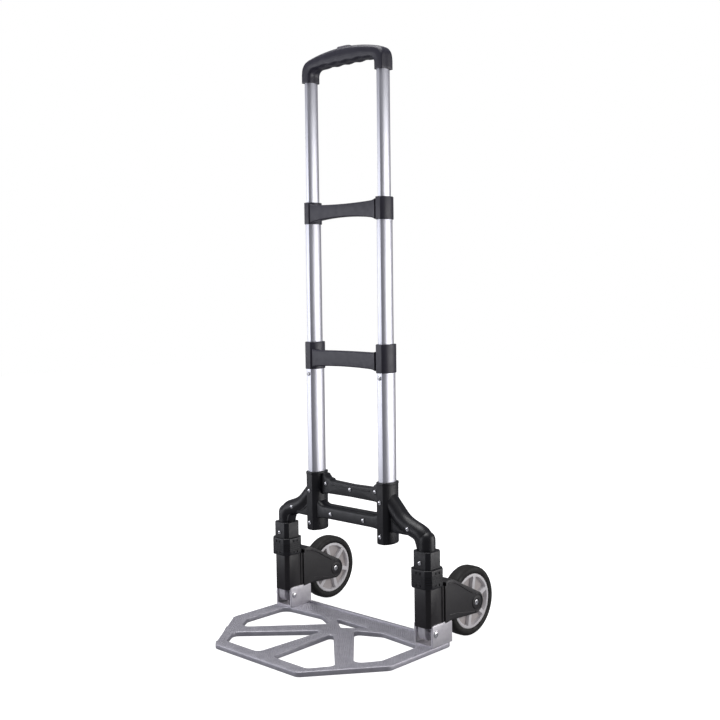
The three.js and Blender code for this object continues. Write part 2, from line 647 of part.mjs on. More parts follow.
// The metal foot of a leg: a spigot in the post, a thrust ring under the fork, and a hinge tongue.
function foot(s) {
  const x = s * LEG_X;
  const { bottom, top, radius } = THRUST_RING;
  const spigot = cylinderZ(POST_RADIUS - POST_WALL - GAP, x, 0, top - 1, top + 30);
  const ring = cylinderZ(radius, x, 0, bottom, top, 24);
  const half = TONGUE_HALF_WIDTH;
  const tongue = box(x - half, x + half, HINGE_Y - TONGUE_RADIUS, -HINGE_Y + 9, HINGE_Z, bottom + 1);
  const knuckle = cylinderX(TONGUE_RADIUS, x - half, x + half, HINGE_Y, HINGE_Z, 24);
  const bore = cylinderX(HINGE_PIN_RADIUS + PLAY, -FAR, FAR, HINGE_Y, HINGE_Z);
  return cut(join(spigot, ring, tongue, knuckle), bore);
}

function legs() {
  for (const [side, s] of SIDES) {
    const x = s * LEG_X;
    const bottom = THRUST_RING.top + GAP;
    const post = cut(
      cylinderZ(POST_RADIUS, x, 0, bottom, POST_TOP, 18),
      cylinderZ(POST_RADIUS - POST_WALL, x, 0, bottom - 1, POST_TOP + 1, 18),
    );
    add("leg_post_" + side, post, steel);
    add("leg_collar_" + side, collar(s), blackPlastic);
    const length = SLEEVE_RADIUS - POST_RADIUS - 2 * GAP;
    add("collar_screw_" + side, screw(x, -SLEEVE_RADIUS, COLLAR_SCREW_Z, length), steel);
    add("leg_foot_" + side, foot(s), castMetal);
  }
}

// ---- Forks and wheels ---------------------------------------------------------------------------
const FORK_SHOULDER = { y: 40, z: 121.5 };
const FORK_BOSS_RADIUS = FORK_NOSE_RADIUS - 8;
const AXLE_SINK = 0.4;

// The side view of a fork's cheek: from the housing back to a round nose about the axle.
function cheekOutline() {
  const nose = spread(-96, 62, 8).map((angle) => {
    const a = THREE.MathUtils.degToRad(angle);
    return [AXLE_Y + FORK_NOSE_RADIUS * Math.cos(a), WHEEL_RADIUS + FORK_NOSE_RADIUS * Math.sin(a)];
  });
  const underCollar = COLLAR_BOTTOM - PLAY;
  return [
    [0, HOUSING_BOTTOM],
    [FORK_SHOULDER.y, HOUSING_BOTTOM + 4],
    ...nose,
    [FORK_SHOULDER.y + 8, FORK_SHOULDER.z - 2],
    [FORK_SHOULDER.y, FORK_SHOULDER.z],
    [FORK_SHOULDER.y - 10, FORK_SHOULDER.z],
    [COLLAR_RADIUS - 5, underCollar + 5],
    [COLLAR_RADIUS - 7, underCollar],
    [0, underCollar],
  ];
}

function fork(s) {
  const x = s * LEG_X;
  const top = COLLAR_BOTTOM - PLAY;
  const housing = cylinderZ(HOUSING_RADIUS, x, 0, HOUSING_BOTTOM, top, 24);
  const outline = cheekOutline();
  const cheeks = extrudeX(outline, x - FORK_HALF_WIDTH, x + FORK_HALF_WIDTH, 0.8);
  const boss = FORK_HALF_WIDTH + FORK_BOSS;
  const bosses = cylinderX(FORK_BOSS_RADIUS, x - boss, x + boss, AXLE_Y, WHEEL_RADIUS, 20);
  const wheelHalf = FORK_HALF_WIDTH - FORK_CHEEK;
  const wheelRoom = cylinderX(
    WHEEL_RADIUS + 4,
    x - wheelHalf,
    x + wheelHalf,
    AXLE_Y,
    WHEEL_RADIUS,
    36,
  );
  const frontRoom = cut(
    box(-FAR, FAR, -1, HOUSING_RADIUS - 6, 0, FAR),
    cylinderZ(HOUSING_RADIUS, x, 0, 0, FAR, 24),
  );
  const collarRoom = cylinderZ(COLLAR_RADIUS + 2 * PLAY, x, 0, top, FAR, 32);
  const bore = cylinderZ(POST_RADIUS + PLAY, x, 0, HOUSING_BOTTOM - 1, top + 1, 18);
  const axleBore = cylinderX(AXLE_RADIUS + GAP, -FAR, FAR, AXLE_Y, WHEEL_RADIUS);
  const recesses = [-1, 1].map((w) => {
    const face = x + w * boss;
    const seat = face - w * (AXLE_HEAD_DEPTH + AXLE_SINK + GAP);
    return cylinderX(AXLE_HEAD_RADIUS + GAP, face + w, seat, AXLE_Y, WHEEL_RADIUS);
  });
  const arms = cut(join(cheeks, bosses), wheelRoom, frontRoom, collarRoom);
  const body = join(arms, housing);
  return cut(body, bore, axleBore, ...recesses);
}

// A dished wheel centre with spokes between recessed panels on both faces.
function hub(x, turn) {
  const w = HUB_HALF_WIDTH;
  const bore = BUSH_RADIUS + PLAY;
  const body = turnX(
    [
      [-w, bore],
      [-w, HUB_RADIUS],
      [w, HUB_RADIUS],
      [w, bore],
      [-w, bore],
    ],
    0,
    0,
    0,
  );
  const inner = PANEL_INNER;
  const outer = HUB_RADIUS - HUB_RIM;
  const pockets = Array.from({ length: SPOKES }, (_, i) => {
    const middle = turn + (2 * Math.PI * (i + 0.5)) / SPOKES;
    const half = Math.PI / SPOKES;
    const inset = (radius) => half - Math.asin(SPOKE_WIDTH / 2 / radius);
    const out = spread(-inset(outer), inset(outer), 5).map((a) => [
      outer * Math.cos(middle + a),
      outer * Math.sin(middle + a),
    ]);
    const back = spread(inset(inner), -inset(inner), 2).map((a) => [
      inner * Math.cos(middle + a),
      inner * Math.sin(middle + a),
    ]);
    const outline = [...out, ...back];
    return [extrudeX(outline, w - PANEL_DEPTH, w + 1), extrudeX(outline, -w - 1, PANEL_DEPTH - w)];
  }).flat();
  return cut(body, ...pockets).translate([x, AXLE_Y, WHEEL_RADIUS]);
}

function tyre(x) {
  const inner = HUB_RADIUS + GAP;
  const w = TYRE_HALF_WIDTH;
  const profile = [
    [-w + 1, inner],
    [-w, WHEEL_RADIUS - 5],
    [-w + 2.2, WHEEL_RADIUS - 1.6],
    [-w + 5.5, WHEEL_RADIUS],
    [w - 5.5, WHEEL_RADIUS],
    [w - 2.2, WHEEL_RADIUS - 1.6],
    [w, WHEEL_RADIUS - 5],
    [w - 1, inner],
    [-w + 1, inner],
  ];
  return turnX(profile, x, AXLE_Y, WHEEL_RADIUS, 36);
}

function wheels() {
  const turns = { left: 46, right: 80 };
  for (const [side, s] of SIDES) {
    const x = s * LEG_X;
    add("wheel_fork_" + side, fork(s), blackPlastic);
    const end = FORK_HALF_WIDTH + FORK_BOSS - AXLE_SINK;
    const heads = [-1, 1].map((w) => {
      const face = x + w * end;
      return cylinderX(AXLE_HEAD_RADIUS, face, face - w * AXLE_HEAD_DEPTH, AXLE_Y, WHEEL_RADIUS);
    });
    const shaft = cylinderX(AXLE_RADIUS, x - end + 1, x + end - 1, AXLE_Y, WHEEL_RADIUS);
    const axle = join(shaft, ...heads);
    add("axle_" + side, axle, steel);
    const half = FORK_HALF_WIDTH - FORK_CHEEK - GAP;
    const bush = cut(
      cylinderX(BUSH_RADIUS, x - half, x + half, AXLE_Y, WHEEL_RADIUS),
      cylinderX(AXLE_RADIUS + GAP, -FAR, FAR, AXLE_Y, WHEEL_RADIUS),
    );
    add("axle_bush_" + side, bush, nylon);
    add("hub_" + side, hub(x, THREE.MathUtils.degToRad(turns[side])), hubPlastic);
    add("tyre_" + side, tyre(x), rubber);
  }
}

// ---- Toe plate ----------------------------------------------------------------------------------
const PLATE_RIM = 25;
const mirrorX = (corners) => corners.map(([x, y, r]) => [-x, y, r]).reverse();

const PLATE_CORNERS = [
  [-PLATE_FRONT_HALF, -PLATE_FRONT, 14],
  [PLATE_FRONT_HALF, -PLATE_FRONT, 14],
  [PLATE_HALF_WIDTH, -PLATE_SHOULDER, 18],
  [PLATE_HALF_WIDTH, PLATE_BACK, 14],
  [-PLATE_HALF_WIDTH, PLATE_BACK, 14],
  [-PLATE_HALF_WIDTH, -PLATE_SHOULDER, 18],
];

// The windows between the beams, on the right-hand side and in the middle.
const FRONT_WINDOW = [
  [12, -66, 6],
  [18, -PLATE_FRONT + PLATE_RIM, 12],
  [PLATE_FRONT_HALF - 2, -PLATE_FRONT + PLATE_RIM, 12],
  [PLATE_FRONT_HALF + 25, -PLATE_SHOULDER - 60, 12],
];
const SIDE_WINDOW = [
  [30, -30, 10],
  [PLATE_HALF_WIDTH - 56, -PLATE_SHOULDER - 31, 14],
  [PLATE_HALF_WIDTH - 29, -PLATE_SHOULDER + 10, 14],
  [PLATE_HALF_WIDTH - 29, -14, 18],
  [80, -6, 16],
];
const MIDDLE_WINDOW = [
  [0, -34, 6],
  [46, -1, 4],
  [-46, -1, 4],
];

function toePlate() {
  const windows = [
    FRONT_WINDOW,
    mirrorX(FRONT_WINDOW),
    SIDE_WINDOW,
    mirrorX(SIDE_WINDOW),
    MIDDLE_WINDOW,
  ];
  const plate = extrudeZ(rounded(PLATE_CORNERS), 0, PLATE_TOP);
  const openings = windows.map((w) => extrudeZ(rounded(w), -1, PLATE_TOP + 1));
  const underside = cut(
    extrudeZ(rounded(PLATE_CORNERS, -PLATE_WALL), -1, PLATE_TOP - PLATE_WALL),
    ...windows.map((w) => extrudeZ(rounded(w, PLATE_WALL), -2, PLATE_TOP)),
  );
  const lipEnd = LEG_X - CHEEK_OUTER - 2;
  const lipFront = PLATE_BACK - LIP_DEPTH;
  const lip = box(-lipEnd, lipEnd, lipFront, PLATE_BACK, PLATE_TOP - 1, LIP_TOP);
  return join(cut(plate, underside, ...openings), lip);
}

// A channel on the plate whose two cheeks carry the hinge pin.
function hingeBracket(s) {
  const x = s * LEG_X;
  const front = HINGE_Y - 8;
  const over = spread(90, 120, 4).map((angle) => {
    const a = THREE.MathUtils.degToRad(angle);
    return [HINGE_Y + CHEEK_TOP_RADIUS * Math.cos(a), HINGE_Z + CHEEK_TOP_RADIUS * Math.sin(a)];
  });
  const bottom = PLATE_TOP + GAP;
  const outline = [
    [front, bottom],
    [CHEEK_BACK, bottom],
    [CHEEK_BACK, HINGE_Z + CHEEK_TOP_RADIUS - 3],
    [CHEEK_BACK - 3, HINGE_Z + CHEEK_TOP_RADIUS],
    ...over,
  ];
  const cheeks = extrudeX(outline, x - CHEEK_OUTER, x + CHEEK_OUTER);
  const room = box(x - CHEEK_INNER, x + CHEEK_INNER, front - 1, CHEEK_BACK + 1, bottom + 3, FAR);
  const holes = cylinderX(HINGE_PIN_RADIUS + GAP, -FAR, FAR, HINGE_Y, HINGE_Z);
  return cut(cheeks, room, holes);
}

// A domed head on the pin's outer end and a nut on its inner end.
function hingePin(s) {
  const x = s * LEG_X;
  const end = CHEEK_OUTER + GAP;
  const pin = cylinderX(HINGE_PIN_RADIUS, x - end - 1, x + end + 1, HINGE_Y, HINGE_Z);
  const dome = [
    [0, 0],
    [0, HINGE_HEAD_RADIUS],
    [1, HINGE_HEAD_RADIUS],
    [HINGE_HEAD_HEIGHT, HINGE_HEAD_RADIUS - 1.8],
    [HINGE_HEAD_HEIGHT, 0],
  ];
  const outwards = s > 0 ? dome : dome.map(([along, radius]) => [-along, radius]).reverse();
  const head = turnX(outwards, x + s * end, HINGE_Y, HINGE_Z, 24);
  const inner = x - s * end;
  const nut = cylinderX(HINGE_HEAD_RADIUS - 0.8, inner, inner - s * 1.6, HINGE_Y, HINGE_Z, 6);
  return join(pin, head, nut);
}

function base() {
  add("toe_plate", toePlate(), plateMetal);
  for (const [side, s] of SIDES) {
    add("hinge_bracket_" + side, hingeBracket(s), castMetal);
    add("hinge_pin_" + side, hingePin(s), steel);
  }
}

tubes();
handle();
release();
brace("upper_brace", UPPER_BRACE, MID_INSET);
brace("lower_brace", LOWER_BRACE, 0);
frame();
legs();
wheels();
base();

// The origin lies on the ground under the middle of the truck's footprint.
truck.position.y = (PLATE_FRONT - AXLE_Y - WHEEL_RADIUS) / 2;
truck.updateMatrixWorld(true);

export default truck;
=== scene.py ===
import json
import math

import bmesh
import bpy
from mathutils import Matrix, Vector


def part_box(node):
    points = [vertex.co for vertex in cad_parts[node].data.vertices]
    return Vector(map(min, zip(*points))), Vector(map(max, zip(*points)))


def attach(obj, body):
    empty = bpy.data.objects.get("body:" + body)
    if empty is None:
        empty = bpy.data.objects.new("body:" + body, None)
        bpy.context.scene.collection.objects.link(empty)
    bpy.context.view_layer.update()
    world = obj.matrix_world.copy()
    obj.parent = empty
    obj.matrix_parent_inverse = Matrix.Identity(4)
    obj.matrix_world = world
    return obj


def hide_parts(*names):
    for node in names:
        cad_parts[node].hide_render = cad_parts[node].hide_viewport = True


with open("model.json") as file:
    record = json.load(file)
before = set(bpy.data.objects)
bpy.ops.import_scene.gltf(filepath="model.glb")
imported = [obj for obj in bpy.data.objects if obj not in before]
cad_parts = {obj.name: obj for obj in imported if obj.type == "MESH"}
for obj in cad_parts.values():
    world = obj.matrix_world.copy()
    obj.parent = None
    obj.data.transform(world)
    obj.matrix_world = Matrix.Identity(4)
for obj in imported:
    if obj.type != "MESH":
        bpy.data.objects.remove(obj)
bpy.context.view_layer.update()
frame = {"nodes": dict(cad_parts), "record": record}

# The looks of a folding hand truck. Shapes are worked out in millimetres, with y counted from the
# leg axis, and placed in the frame's metres.
MM = 0.001
SIDES = (("left", -1), ("right", 1))


def box(node):
    """A CAD node's corners in millimetres, with y counted from the leg axis."""
    lo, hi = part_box(node)
    return (
        (lo.x / MM, lo.y / MM - LEG_Y, lo.z / MM),
        (hi.x / MM, hi.y / MM - LEG_Y, hi.z / MM),
    )


LEG_Y = sum(c.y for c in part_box("leg_post_right")) / 2 / MM


def middle(node):
    lo, hi = box(node)
    return [(a + b) / 2 for a, b in zip(lo, hi)]


# ---- Sizes shared with the CAD ---------------------------
TUBE_X, TUBE_Y, _ = middle("base_tube_right")
OVAL_WIDTH = box("base_tube_right")[1][0] - box("base_tube_right")[0][0]
OVAL_DEPTH = box("base_tube_right")[1][1] - box("base_tube_right")[0][1]
OVAL_FLAT = 11.0
TUBE_WALL = 1.8
GAP = 0.3
LEG_X = middle("leg_post_right")[0]
AXLE = middle("axle_right")
WHEEL_RADIUS = AXLE[2]
HINGE = middle("hinge_pin_right")[1:]
AXLE_LINE = AXLE[1:]
FAR = 300.0
RIM_STEPS = 4
SLAB_STEPS = 3
OVAL_STEPS = 14


# ---- Meshes ----------------------------------------------
def new_object(name, verts, faces):
    """A mesh object from points in millimetres, with its faces turned outwards."""
    mesh = bpy.data.meshes.new(name)
    mesh.from_pydata(verts, [], faces)
    work = bmesh.new()
    work.from_mesh(mesh)
    bmesh.ops.remove_doubles(work, verts=work.verts, dist=1e-4)
    bmesh.ops.recalc_face_normals(work, faces=work.faces)
    work.to_mesh(mesh)
    work.free()
    obj = bpy.data.objects.new(name, mesh)
    bpy.context.scene.collection.objects.link(obj)
    return obj


def loft(rings, closed=False):
    """A solid through rings of equally many points, capped at both ends or closed on itself."""
    count = len(rings[0])
    verts = [point for ring in rings for point in ring]
    faces = []
    spans = len(rings) if closed else len(rings) - 1
    for i in range(spans):
        a, b = i * count, ((i + 1) % len(rings)) * count
        for j in range(count):
            k = (j + 1) % count
            faces.append((a + j, a + k, b + k, b + j))
    if not closed:
        faces.append(tuple(range(count))[::-1])
        faces.append(tuple(range((len(rings) - 1) * count, len(rings) * count)))
    return new_object("loft", verts, faces)


def slab(loops, plane, lo, hi, rounding=0.0):
    """Outlines extruded across a plane ("xy", "xz" or "yz") from lo to hi, with rounded edges."""
    curve = bpy.data.curves.new("slab", "CURVE")
    curve.dimensions = "2D"
    curve.fill_mode = "BOTH"
    curve.extrude = (hi - lo) / 2 - rounding
    curve.bevel_depth = rounding
    curve.bevel_resolution = SLAB_STEPS
    curve.offset = -rounding
    for loop in loops:
        spline = curve.splines.new("POLY")
        spline.points.add(len(loop) - 1)
        for point, (u, v) in zip(spline.points, loop):
            point.co = (u, v, 0, 1)
        spline.use_cyclic_u = True
    holder = bpy.data.objects.new("slab", curve)
    bpy.context.scene.collection.objects.link(holder)
    graph = bpy.context.evaluated_depsgraph_get()
    flat = bpy.data.meshes.new_from_object(holder.evaluated_get(graph))
    bpy.data.objects.remove(holder)
    half = (lo + hi) / 2
    place = {
        "xy": lambda u, v, w: (u, v, half + w),
        "xz": lambda u, v, w: (u, half + w, v),
        "yz": lambda u, v, w: (half + w, u, v),
    }[plane]
    verts = [place(*vertex.co) for vertex in flat.vertices]
    faces = [tuple(face.vertices) for face in flat.polygons]
    bpy.data.meshes.remove(flat)
    return new_object("slab", verts, faces)


def applied(obj):
    """Bakes an object's modifiers into its mesh."""
    graph = bpy.context.evaluated_depsgraph_get()
    mesh = bpy.data.meshes.new_from_object(obj.evaluated_get(graph))
    obj.modifiers.clear()
    obj.data = mesh
    return obj


def boolean(base, operation, *tools):
    """Joins, cuts or keeps what is shared with all the tools in one step."""
    group = bpy.data.collections.new("tools")
    for tool in tools:
        group.objects.link(tool)
    cutter = base.modifiers.new("boolean", "BOOLEAN")
    cutter.operation = operation
    cutter.solver = "EXACT"
    cutter.operand_type = "COLLECTION"
    cutter.collection = group
    cutter.use_self = True
    cutter.use_hole_tolerant = True
    applied(base)
    bpy.data.collections.remove(group)
    for tool in tools:
        bpy.data.objects.remove(tool)
    return base


def join(base, *others):
    return boolean(base, "UNION", *others)


def cut(base, *tools):
    return boolean(base, "DIFFERENCE", *tools)


def merge(base, *others):
    """One object holding several separate solids."""
    work = bmesh.new()
    for obj in (base, *others):
        work.from_mesh(obj.data)
    mesh = bpy.data.meshes.new(base.name)
    work.to_mesh(mesh)
    work.free()
    base.data = mesh
    for obj in others:
        bpy.data.objects.remove(obj)
    return base


def copy_of(obj):
    twin = obj.copy()
    twin.data = obj.data.copy()
    bpy.context.scene.collection.objects.link(twin)
    return twin


def mirrored(obj):
    """A copy of an object on the other side of the truck."""
    twin = copy_of(obj)
    twin.data.transform(Matrix.Scale(-1, 4, (1, 0, 0)))
    work = bmesh.new()
    work.from_mesh(twin.data)
    bmesh.ops.recalc_face_normals(work, faces=work.faces)
    work.to_mesh(twin.data)
    work.free()
    return twin


def bevel(obj, width, segments=2, angle=30):
    edge = obj.modifiers.new("bevel", "BEVEL")
    edge.width = width
    edge.segments = segments
    edge.limit_method = "ANGLE"
    edge.angle_limit = math.radians(angle)
    edge.use_clamp_overlap = True
    return applied(obj)


def piece(obj, node, body, material, angle=32):
    """Names a finished mesh, smooths it, gives it its material and sets it on its body."""
    obj.name = obj.data.name = "skin_" + node
    obj.data.transform(Matrix.Translation((0, LEG_Y * MM, 0)) @ Matrix.Scale(MM, 4))
    obj.data.materials.clear()
    obj.data.materials.append(material)
    obj.data.shade_smooth()
    obj.data.set_sharp_from_angle(angle=math.radians(angle))
    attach(obj, body)
    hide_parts(node)
    return obj


def pairs(*rows):
    """Right-hand pieces and their mirror images. A {} in a row's body stands for the side."""
    for side, s in SIDES:
        for made, prefix, body, slot, material, angle in rows:
            part = copy_of(made) if s > 0 else mirrored(made)
            piece(part, prefix + side, body.format(side), material, angle)
    for row in rows:
        bpy.data.objects.remove(row[0])


# ---- Outlines --------------------------------------------
def spread(start, end, steps):
    return [start + (end - start) * i / steps for i in range(steps + 1)]


def rounded(corners, steps=8):
    """A polygon whose corners (u, v, radius) are rounded."""
    points = []
    count = len(corners)
    for i, (u, v, radius) in enumerate(corners):
        here = Vector((u, v))
        before = Vector(corners[i - 1][:2]) - here
        after = Vector(corners[(i + 1) % count][:2]) - here
        if radius <= 0:
            points.append((u, v))
            continue
        before.normalize()
        after.normalize()
        half = before.angle(after) / 2
        reach = radius / math.tan(half)
        centre = here + (before + after).normalized() * radius / math.sin(half)
        start = here + before * reach - centre
        end = here + after * reach - centre
        turn = start.angle(end)
        way = math.copysign(1, start.x * end.y - start.y * end.x)
        for k in range(steps + 1):
            spun = Vector(start)
            spun.rotate(Matrix.Rotation(way * turn * k / steps, 2))
            points.append(tuple(centre + spun))
    return points


def rounded_open(corners, steps=8):
    """The same for an open line, which keeps its two ends."""
    return rounded([(*corners[0][:2], 0), *corners[1:-1], (*corners[-1][:2], 0)], steps)


def rect(u0, v0, u1, v1):
    return [(u0, v0), (u1, v0), (u1, v1), (u0, v1)]


def oval(inset):
    """The tube section, moved in from the base tube's surface."""
    width = OVAL_WIDTH - 2 * inset
    depth = OVAL_DEPTH - 2 * inset
    end = math.acos((OVAL_FLAT - inset) / width)
    reach = depth / 2 / math.sin(end)
    points = []
    for side in (1, -1):
        for k in range(-OVAL_STEPS, OVAL_STEPS + 1):
            angle = end * k / OVAL_STEPS
            points.append((side * width / 2 * math.cos(angle), side * reach * math.sin(angle)))
    return points


def circle(radius, sides, turn=0.0):
    angles = [2 * math.pi * (i + turn) / sides for i in range(sides)]
    return [(radius * math.cos(a), radius * math.sin(a)) for a in angles]


def hole_like(outline, radius):
    """A round hole's outline with its points in line with another outline's."""
    angles = [math.atan2(v, u) for u, v in outline]
    return [(radius * math.cos(a), radius * math.sin(a)) for a in angles]


def ring_at(section, x, y, z):
    return [(x + u, y + v, z) for u, v in section]


def sleeve(outside, inside, x, y, z0, z1, outer_rim=0.8, inner_rim=0.4):
    """A hollow upright tube. outside and inside give a section for how far it is drawn in."""
    def wall(section, radius, way):
        turns = [math.pi / 2 * k / RIM_STEPS for k in range(RIM_STEPS + 1)]
        sines = [(radius * (1 - math.sin(a)), radius * (1 - math.cos(a))) for a in turns]
        low = [ring_at(section(way * a), x, y, z0 + b) for a, b in sines]
        high = [ring_at(section(way * b), x, y, z1 - a) for a, b in sines]
        return low + high

    return loft(wall(outside, outer_rim, 1) + wall(inside, inner_rim, -1)[::-1], closed=True)


def cylinder(radius, axis, centre, lo, hi, sides=64, rim=0.0):
    """A solid round bar along an axis, with rounded ends."""
    stations = [(lo, radius)]
    if rim:
        turns = [math.pi / 2 * k / RIM_STEPS for k in range(RIM_STEPS, -1, -1)]
        stations = [(lo + rim * (1 - math.sin(a)), radius - rim * (1 - math.cos(a))) for a in turns]
    stations += [(lo + hi - w, r) for w, r in stations[::-1]]
    place = {
        "x": lambda u, v, w: (w, centre[0] + u, centre[1] + v),
        "y": lambda u, v, w: (centre[0] + u, w, centre[1] + v),
        "z": lambda u, v, w: (centre[0] + u, centre[1] + v, w),
    }[axis]
    return loft([[place(u, v, w) for u, v in circle(r, sides)] for w, r in stations])


def lathe(profile, centre, sides):
    """A ring turned about a line along X through centre, from points (x, radius), as a closed loop."""
    rings = []
    for i in range(sides):
        angle = 2 * math.pi * i / sides
        c, s = math.cos(angle), math.sin(angle)
        rings.append([(centre[0] + x, centre[1] + r * c, centre[2] + r * s) for x, r in profile])
    return loft(rings, closed=True)


def sweep(path, section, up=(0, 1, 0)):
    """A solid with a flat section carried along a path. section gives (u, v) at each step."""
    rings = []
    up = Vector(up)
    for i, point in enumerate(path):
        here = Vector(point)
        ahead = Vector(path[min(i + 1, len(path) - 1)]) - Vector(path[max(i - 1, 0)])
        across = ahead.cross(up).normalized()
        rings.append([tuple(here + across * u + up * v) for u, v in section(i)])
    return loft(rings)


# ---- Materials -------------------------------------------
class Nodes:
    """Builds one material's node tree."""

    def __init__(self, name):
        self.material = bpy.data.materials.new(name)
        self.material.use_nodes = True
        self.tree = self.material.node_tree
        self.shader = self.tree.nodes["Principled BSDF"]
        self.coords = self.tree.nodes.new("ShaderNodeTexCoord").outputs["Object"]

    def set(self, **values):
        for key, value in values.items():
            socket = key.replace("_", " ").title().replace("Ior", "IOR")
            self.shader.inputs[socket].default_value = value

    def add(self, kind, links, values=()):
        """A node with some inputs linked and some set."""
        node = self.tree.nodes.new(kind)
        for key, output in links.items():
            self.tree.links.new(output, node.inputs[key])
        for key, value in dict(values).items():
            node.inputs[key].default_value = value
        return node

    def noise(self, scale, detail=3.0, stretch=(1, 1, 1)):
        mapping = self.add("ShaderNodeMapping", {"Vector": self.coords}, {"Scale": stretch})
        links = {"Vector": mapping.outputs["Vector"]}
        values = {"Scale": scale, "Detail": detail, "Roughness": 0.5}
        return self.add("ShaderNodeTexNoise", links, values).outputs["Fac"]

    def voronoi(self, scale):
        texture = self.add("ShaderNodeTexVoronoi", {"Vector": self.coords}, {"Scale": scale})
        return texture.outputs["Distance"]

    def between(self, fac, low, high):
        """Numbers or colours from low to high as fac crosses the middle of its range."""
        middle_range = {"From Min": 0.3, "From Max": 0.7}
        if not isinstance(low, tuple):
            middle_range.update({"To Min": low, "To Max": high})
        share = self.add("ShaderNodeMapRange", {"Value": fac}, middle_range).outputs["Result"]
        if not isinstance(low, tuple):
            return share
        mix = self.tree.nodes.new("ShaderNodeMix")
        mix.data_type = "RGBA"
        mix.inputs["A"].default_value = (*low, 1)
        mix.inputs["B"].default_value = (*high, 1)
        self.tree.links.new(share, mix.inputs["Factor"])
        return mix.outputs["Result"]

    def plug(self, socket, output):
        self.tree.links.new(output, self.shader.inputs[socket])

    def bump(self, *layers):
        """Bumps stacked one on another, each (height output, strength, distance in mm)."""
        links = {}
        for height, strength, distance in layers:
            values = {"Strength": strength, "Distance": distance * MM}
            node = self.add("ShaderNodeBump", {"Height": height, **links}, values)
            links = {"Normal": node.outputs["Normal"]}
        self.plug("Normal", links["Normal"])


def plastic(name, dark, light, rough, grain=0.5):
    """Moulded plastic with a spark-eroded grain and faint flow marks."""
    n = Nodes(name)
    n.plug("Base Color", n.between(n.noise(28, 4), dark, light))
    n.plug("Roughness", n.between(n.noise(140, 3), *rough))
    n.bump((n.noise(1500, 2), grain * 0.3, 0.12), (n.noise(45, 2, (1, 1, 0.4)), 0.05, 0.5))
    return n.material


def drawn_metal(name, dark, light, rough):
    """Drawn metal with fine upright lines."""
    n = Nodes(name)
    n.set(metallic=1.0)
    along = (1, 1, 0.01)
    streaks = n.noise(1600, 2, along)
    n.plug("Base Color", n.between(n.noise(60, 3, along), dark, light))
    n.plug("Roughness", n.between(streaks, *rough))
    n.bump((streaks, 0.12, 0.05), (n.noise(9, 1), 0.03, 1.0))
    return n.material


def tumbled_metal(name, dark, light, metallic, rough=(0.34, 0.5)):
    """Cast metal with a fine tumbled grain and small dents."""
    n = Nodes(name)
    n.set(metallic=metallic)
    n.plug("Base Color", n.between(n.noise(70, 4), dark, light))
    n.plug("Roughness", n.between(n.noise(300, 3), *rough))
    n.bump((n.noise(900, 3), 0.25, 0.12), (n.voronoi(160), 0.05, 0.2))
    return n.material


def plated(name, dark, light):
    """Bright zinc plating with faint polishing marks."""
    n = Nodes(name)
    n.set(metallic=1.0)
    n.plug("Base Color", n.between(n.noise(220, 3), dark, light))
    n.plug("Roughness", n.between(n.noise(700, 2), 0.12, 0.24))
    n.bump((n.noise(1800, 2), 0.06, 0.04))
    return n.material


def rubber(name, dark, light):
    """Solid rubber with a dusty tread and a dull grain."""
    n = Nodes(name)
    n.set(specular_ior_level=0.35)
    n.plug("Base Color", n.between(n.noise(50, 5), dark, light))
    n.plug("Roughness", n.between(n.noise(90, 3), 0.5, 0.72))
    n.bump((n.noise(1100, 3), 0.25, 0.15), (n.noise(120, 2), 0.06, 0.3))
    return n.material


FRAME = plastic("frame_plastic", (0.0045, 0.0045, 0.007), (0.0075, 0.0075, 0.011), (0.34, 0.46))
FORK = plastic("fork_plastic", (0.0075, 0.0062, 0.008), (0.0125, 0.0105, 0.013), (0.32, 0.46))
HANDLE = plastic("handle_plastic", (0.026, 0.0245, 0.038), (0.035, 0.033, 0.05), (0.36, 0.46))
BUTTON = plastic("button_plastic", (0.12, 0.115, 0.14), (0.16, 0.15, 0.18), (0.28, 0.38), grain=0.25)
NYLON = plastic("nylon", (0.03, 0.03, 0.033), (0.05, 0.05, 0.053), (0.4, 0.55))
TUBE = drawn_metal("tube_aluminium", (0.66, 0.665, 0.72), (0.74, 0.745, 0.8), rough=(0.38, 0.48))
PLATE = tumbled_metal("plate_aluminium", (0.46, 0.45, 0.5), (0.56, 0.55, 0.6), 0.55, (0.38, 0.52))
CAST = tumbled_metal("cast_metal", (0.66, 0.64, 0.68), (0.78, 0.76, 0.79), 0.7)
STEEL = plated("steel", (0.72, 0.72, 0.74), (0.86, 0.86, 0.88))
HUB = plastic("hub_plastic", (0.8, 0.78, 0.79), (0.88, 0.86, 0.87), (0.26, 0.38), grain=0.2)
# Painted shade: a darker copy of the hub's colour, laid on the hub's recessed panel floors.
HUB_RECESS_SHADE = plastic("hub_recess_shade", (0.5, 0.46, 0.45), (0.6, 0.56, 0.55), (0.3, 0.42), grain=0.2)
RUBBER = rubber("tyre_rubber", (0.009, 0.0085, 0.008), (0.016, 0.015, 0.014))


# ---- Tubes -----------------------------------------------
STAGES = (
    ("base_tube_", "base", 0.0), ("mid_tube_", "mid_stage", 2.2), ("top_tube_", "upper_stage", 4.4),
)


def tubes():
    for prefix, body, inset in STAGES:
        for side, s in SIDES:
            lo, hi = box(prefix + side)
            pipe = sleeve(
                lambda d: oval(inset + d), lambda d: oval(inset + TUBE_WALL + d),
                s * TUBE_X, TUBE_Y, lo[2], hi[2], 0.4, 0.2,
            )
            piece(bevel(pipe, 0.9, 3, 28), prefix + side, body, TUBE, 20)


def tube_bores(inset, z0, z1):
    """Cutters for the two tubes, drawn in from the base tube's surface."""
    return [loft([ring_at(oval(inset), s * TUBE_X, TUBE_Y, z) for z in (z0, z1)]) for s in (1, -1)]


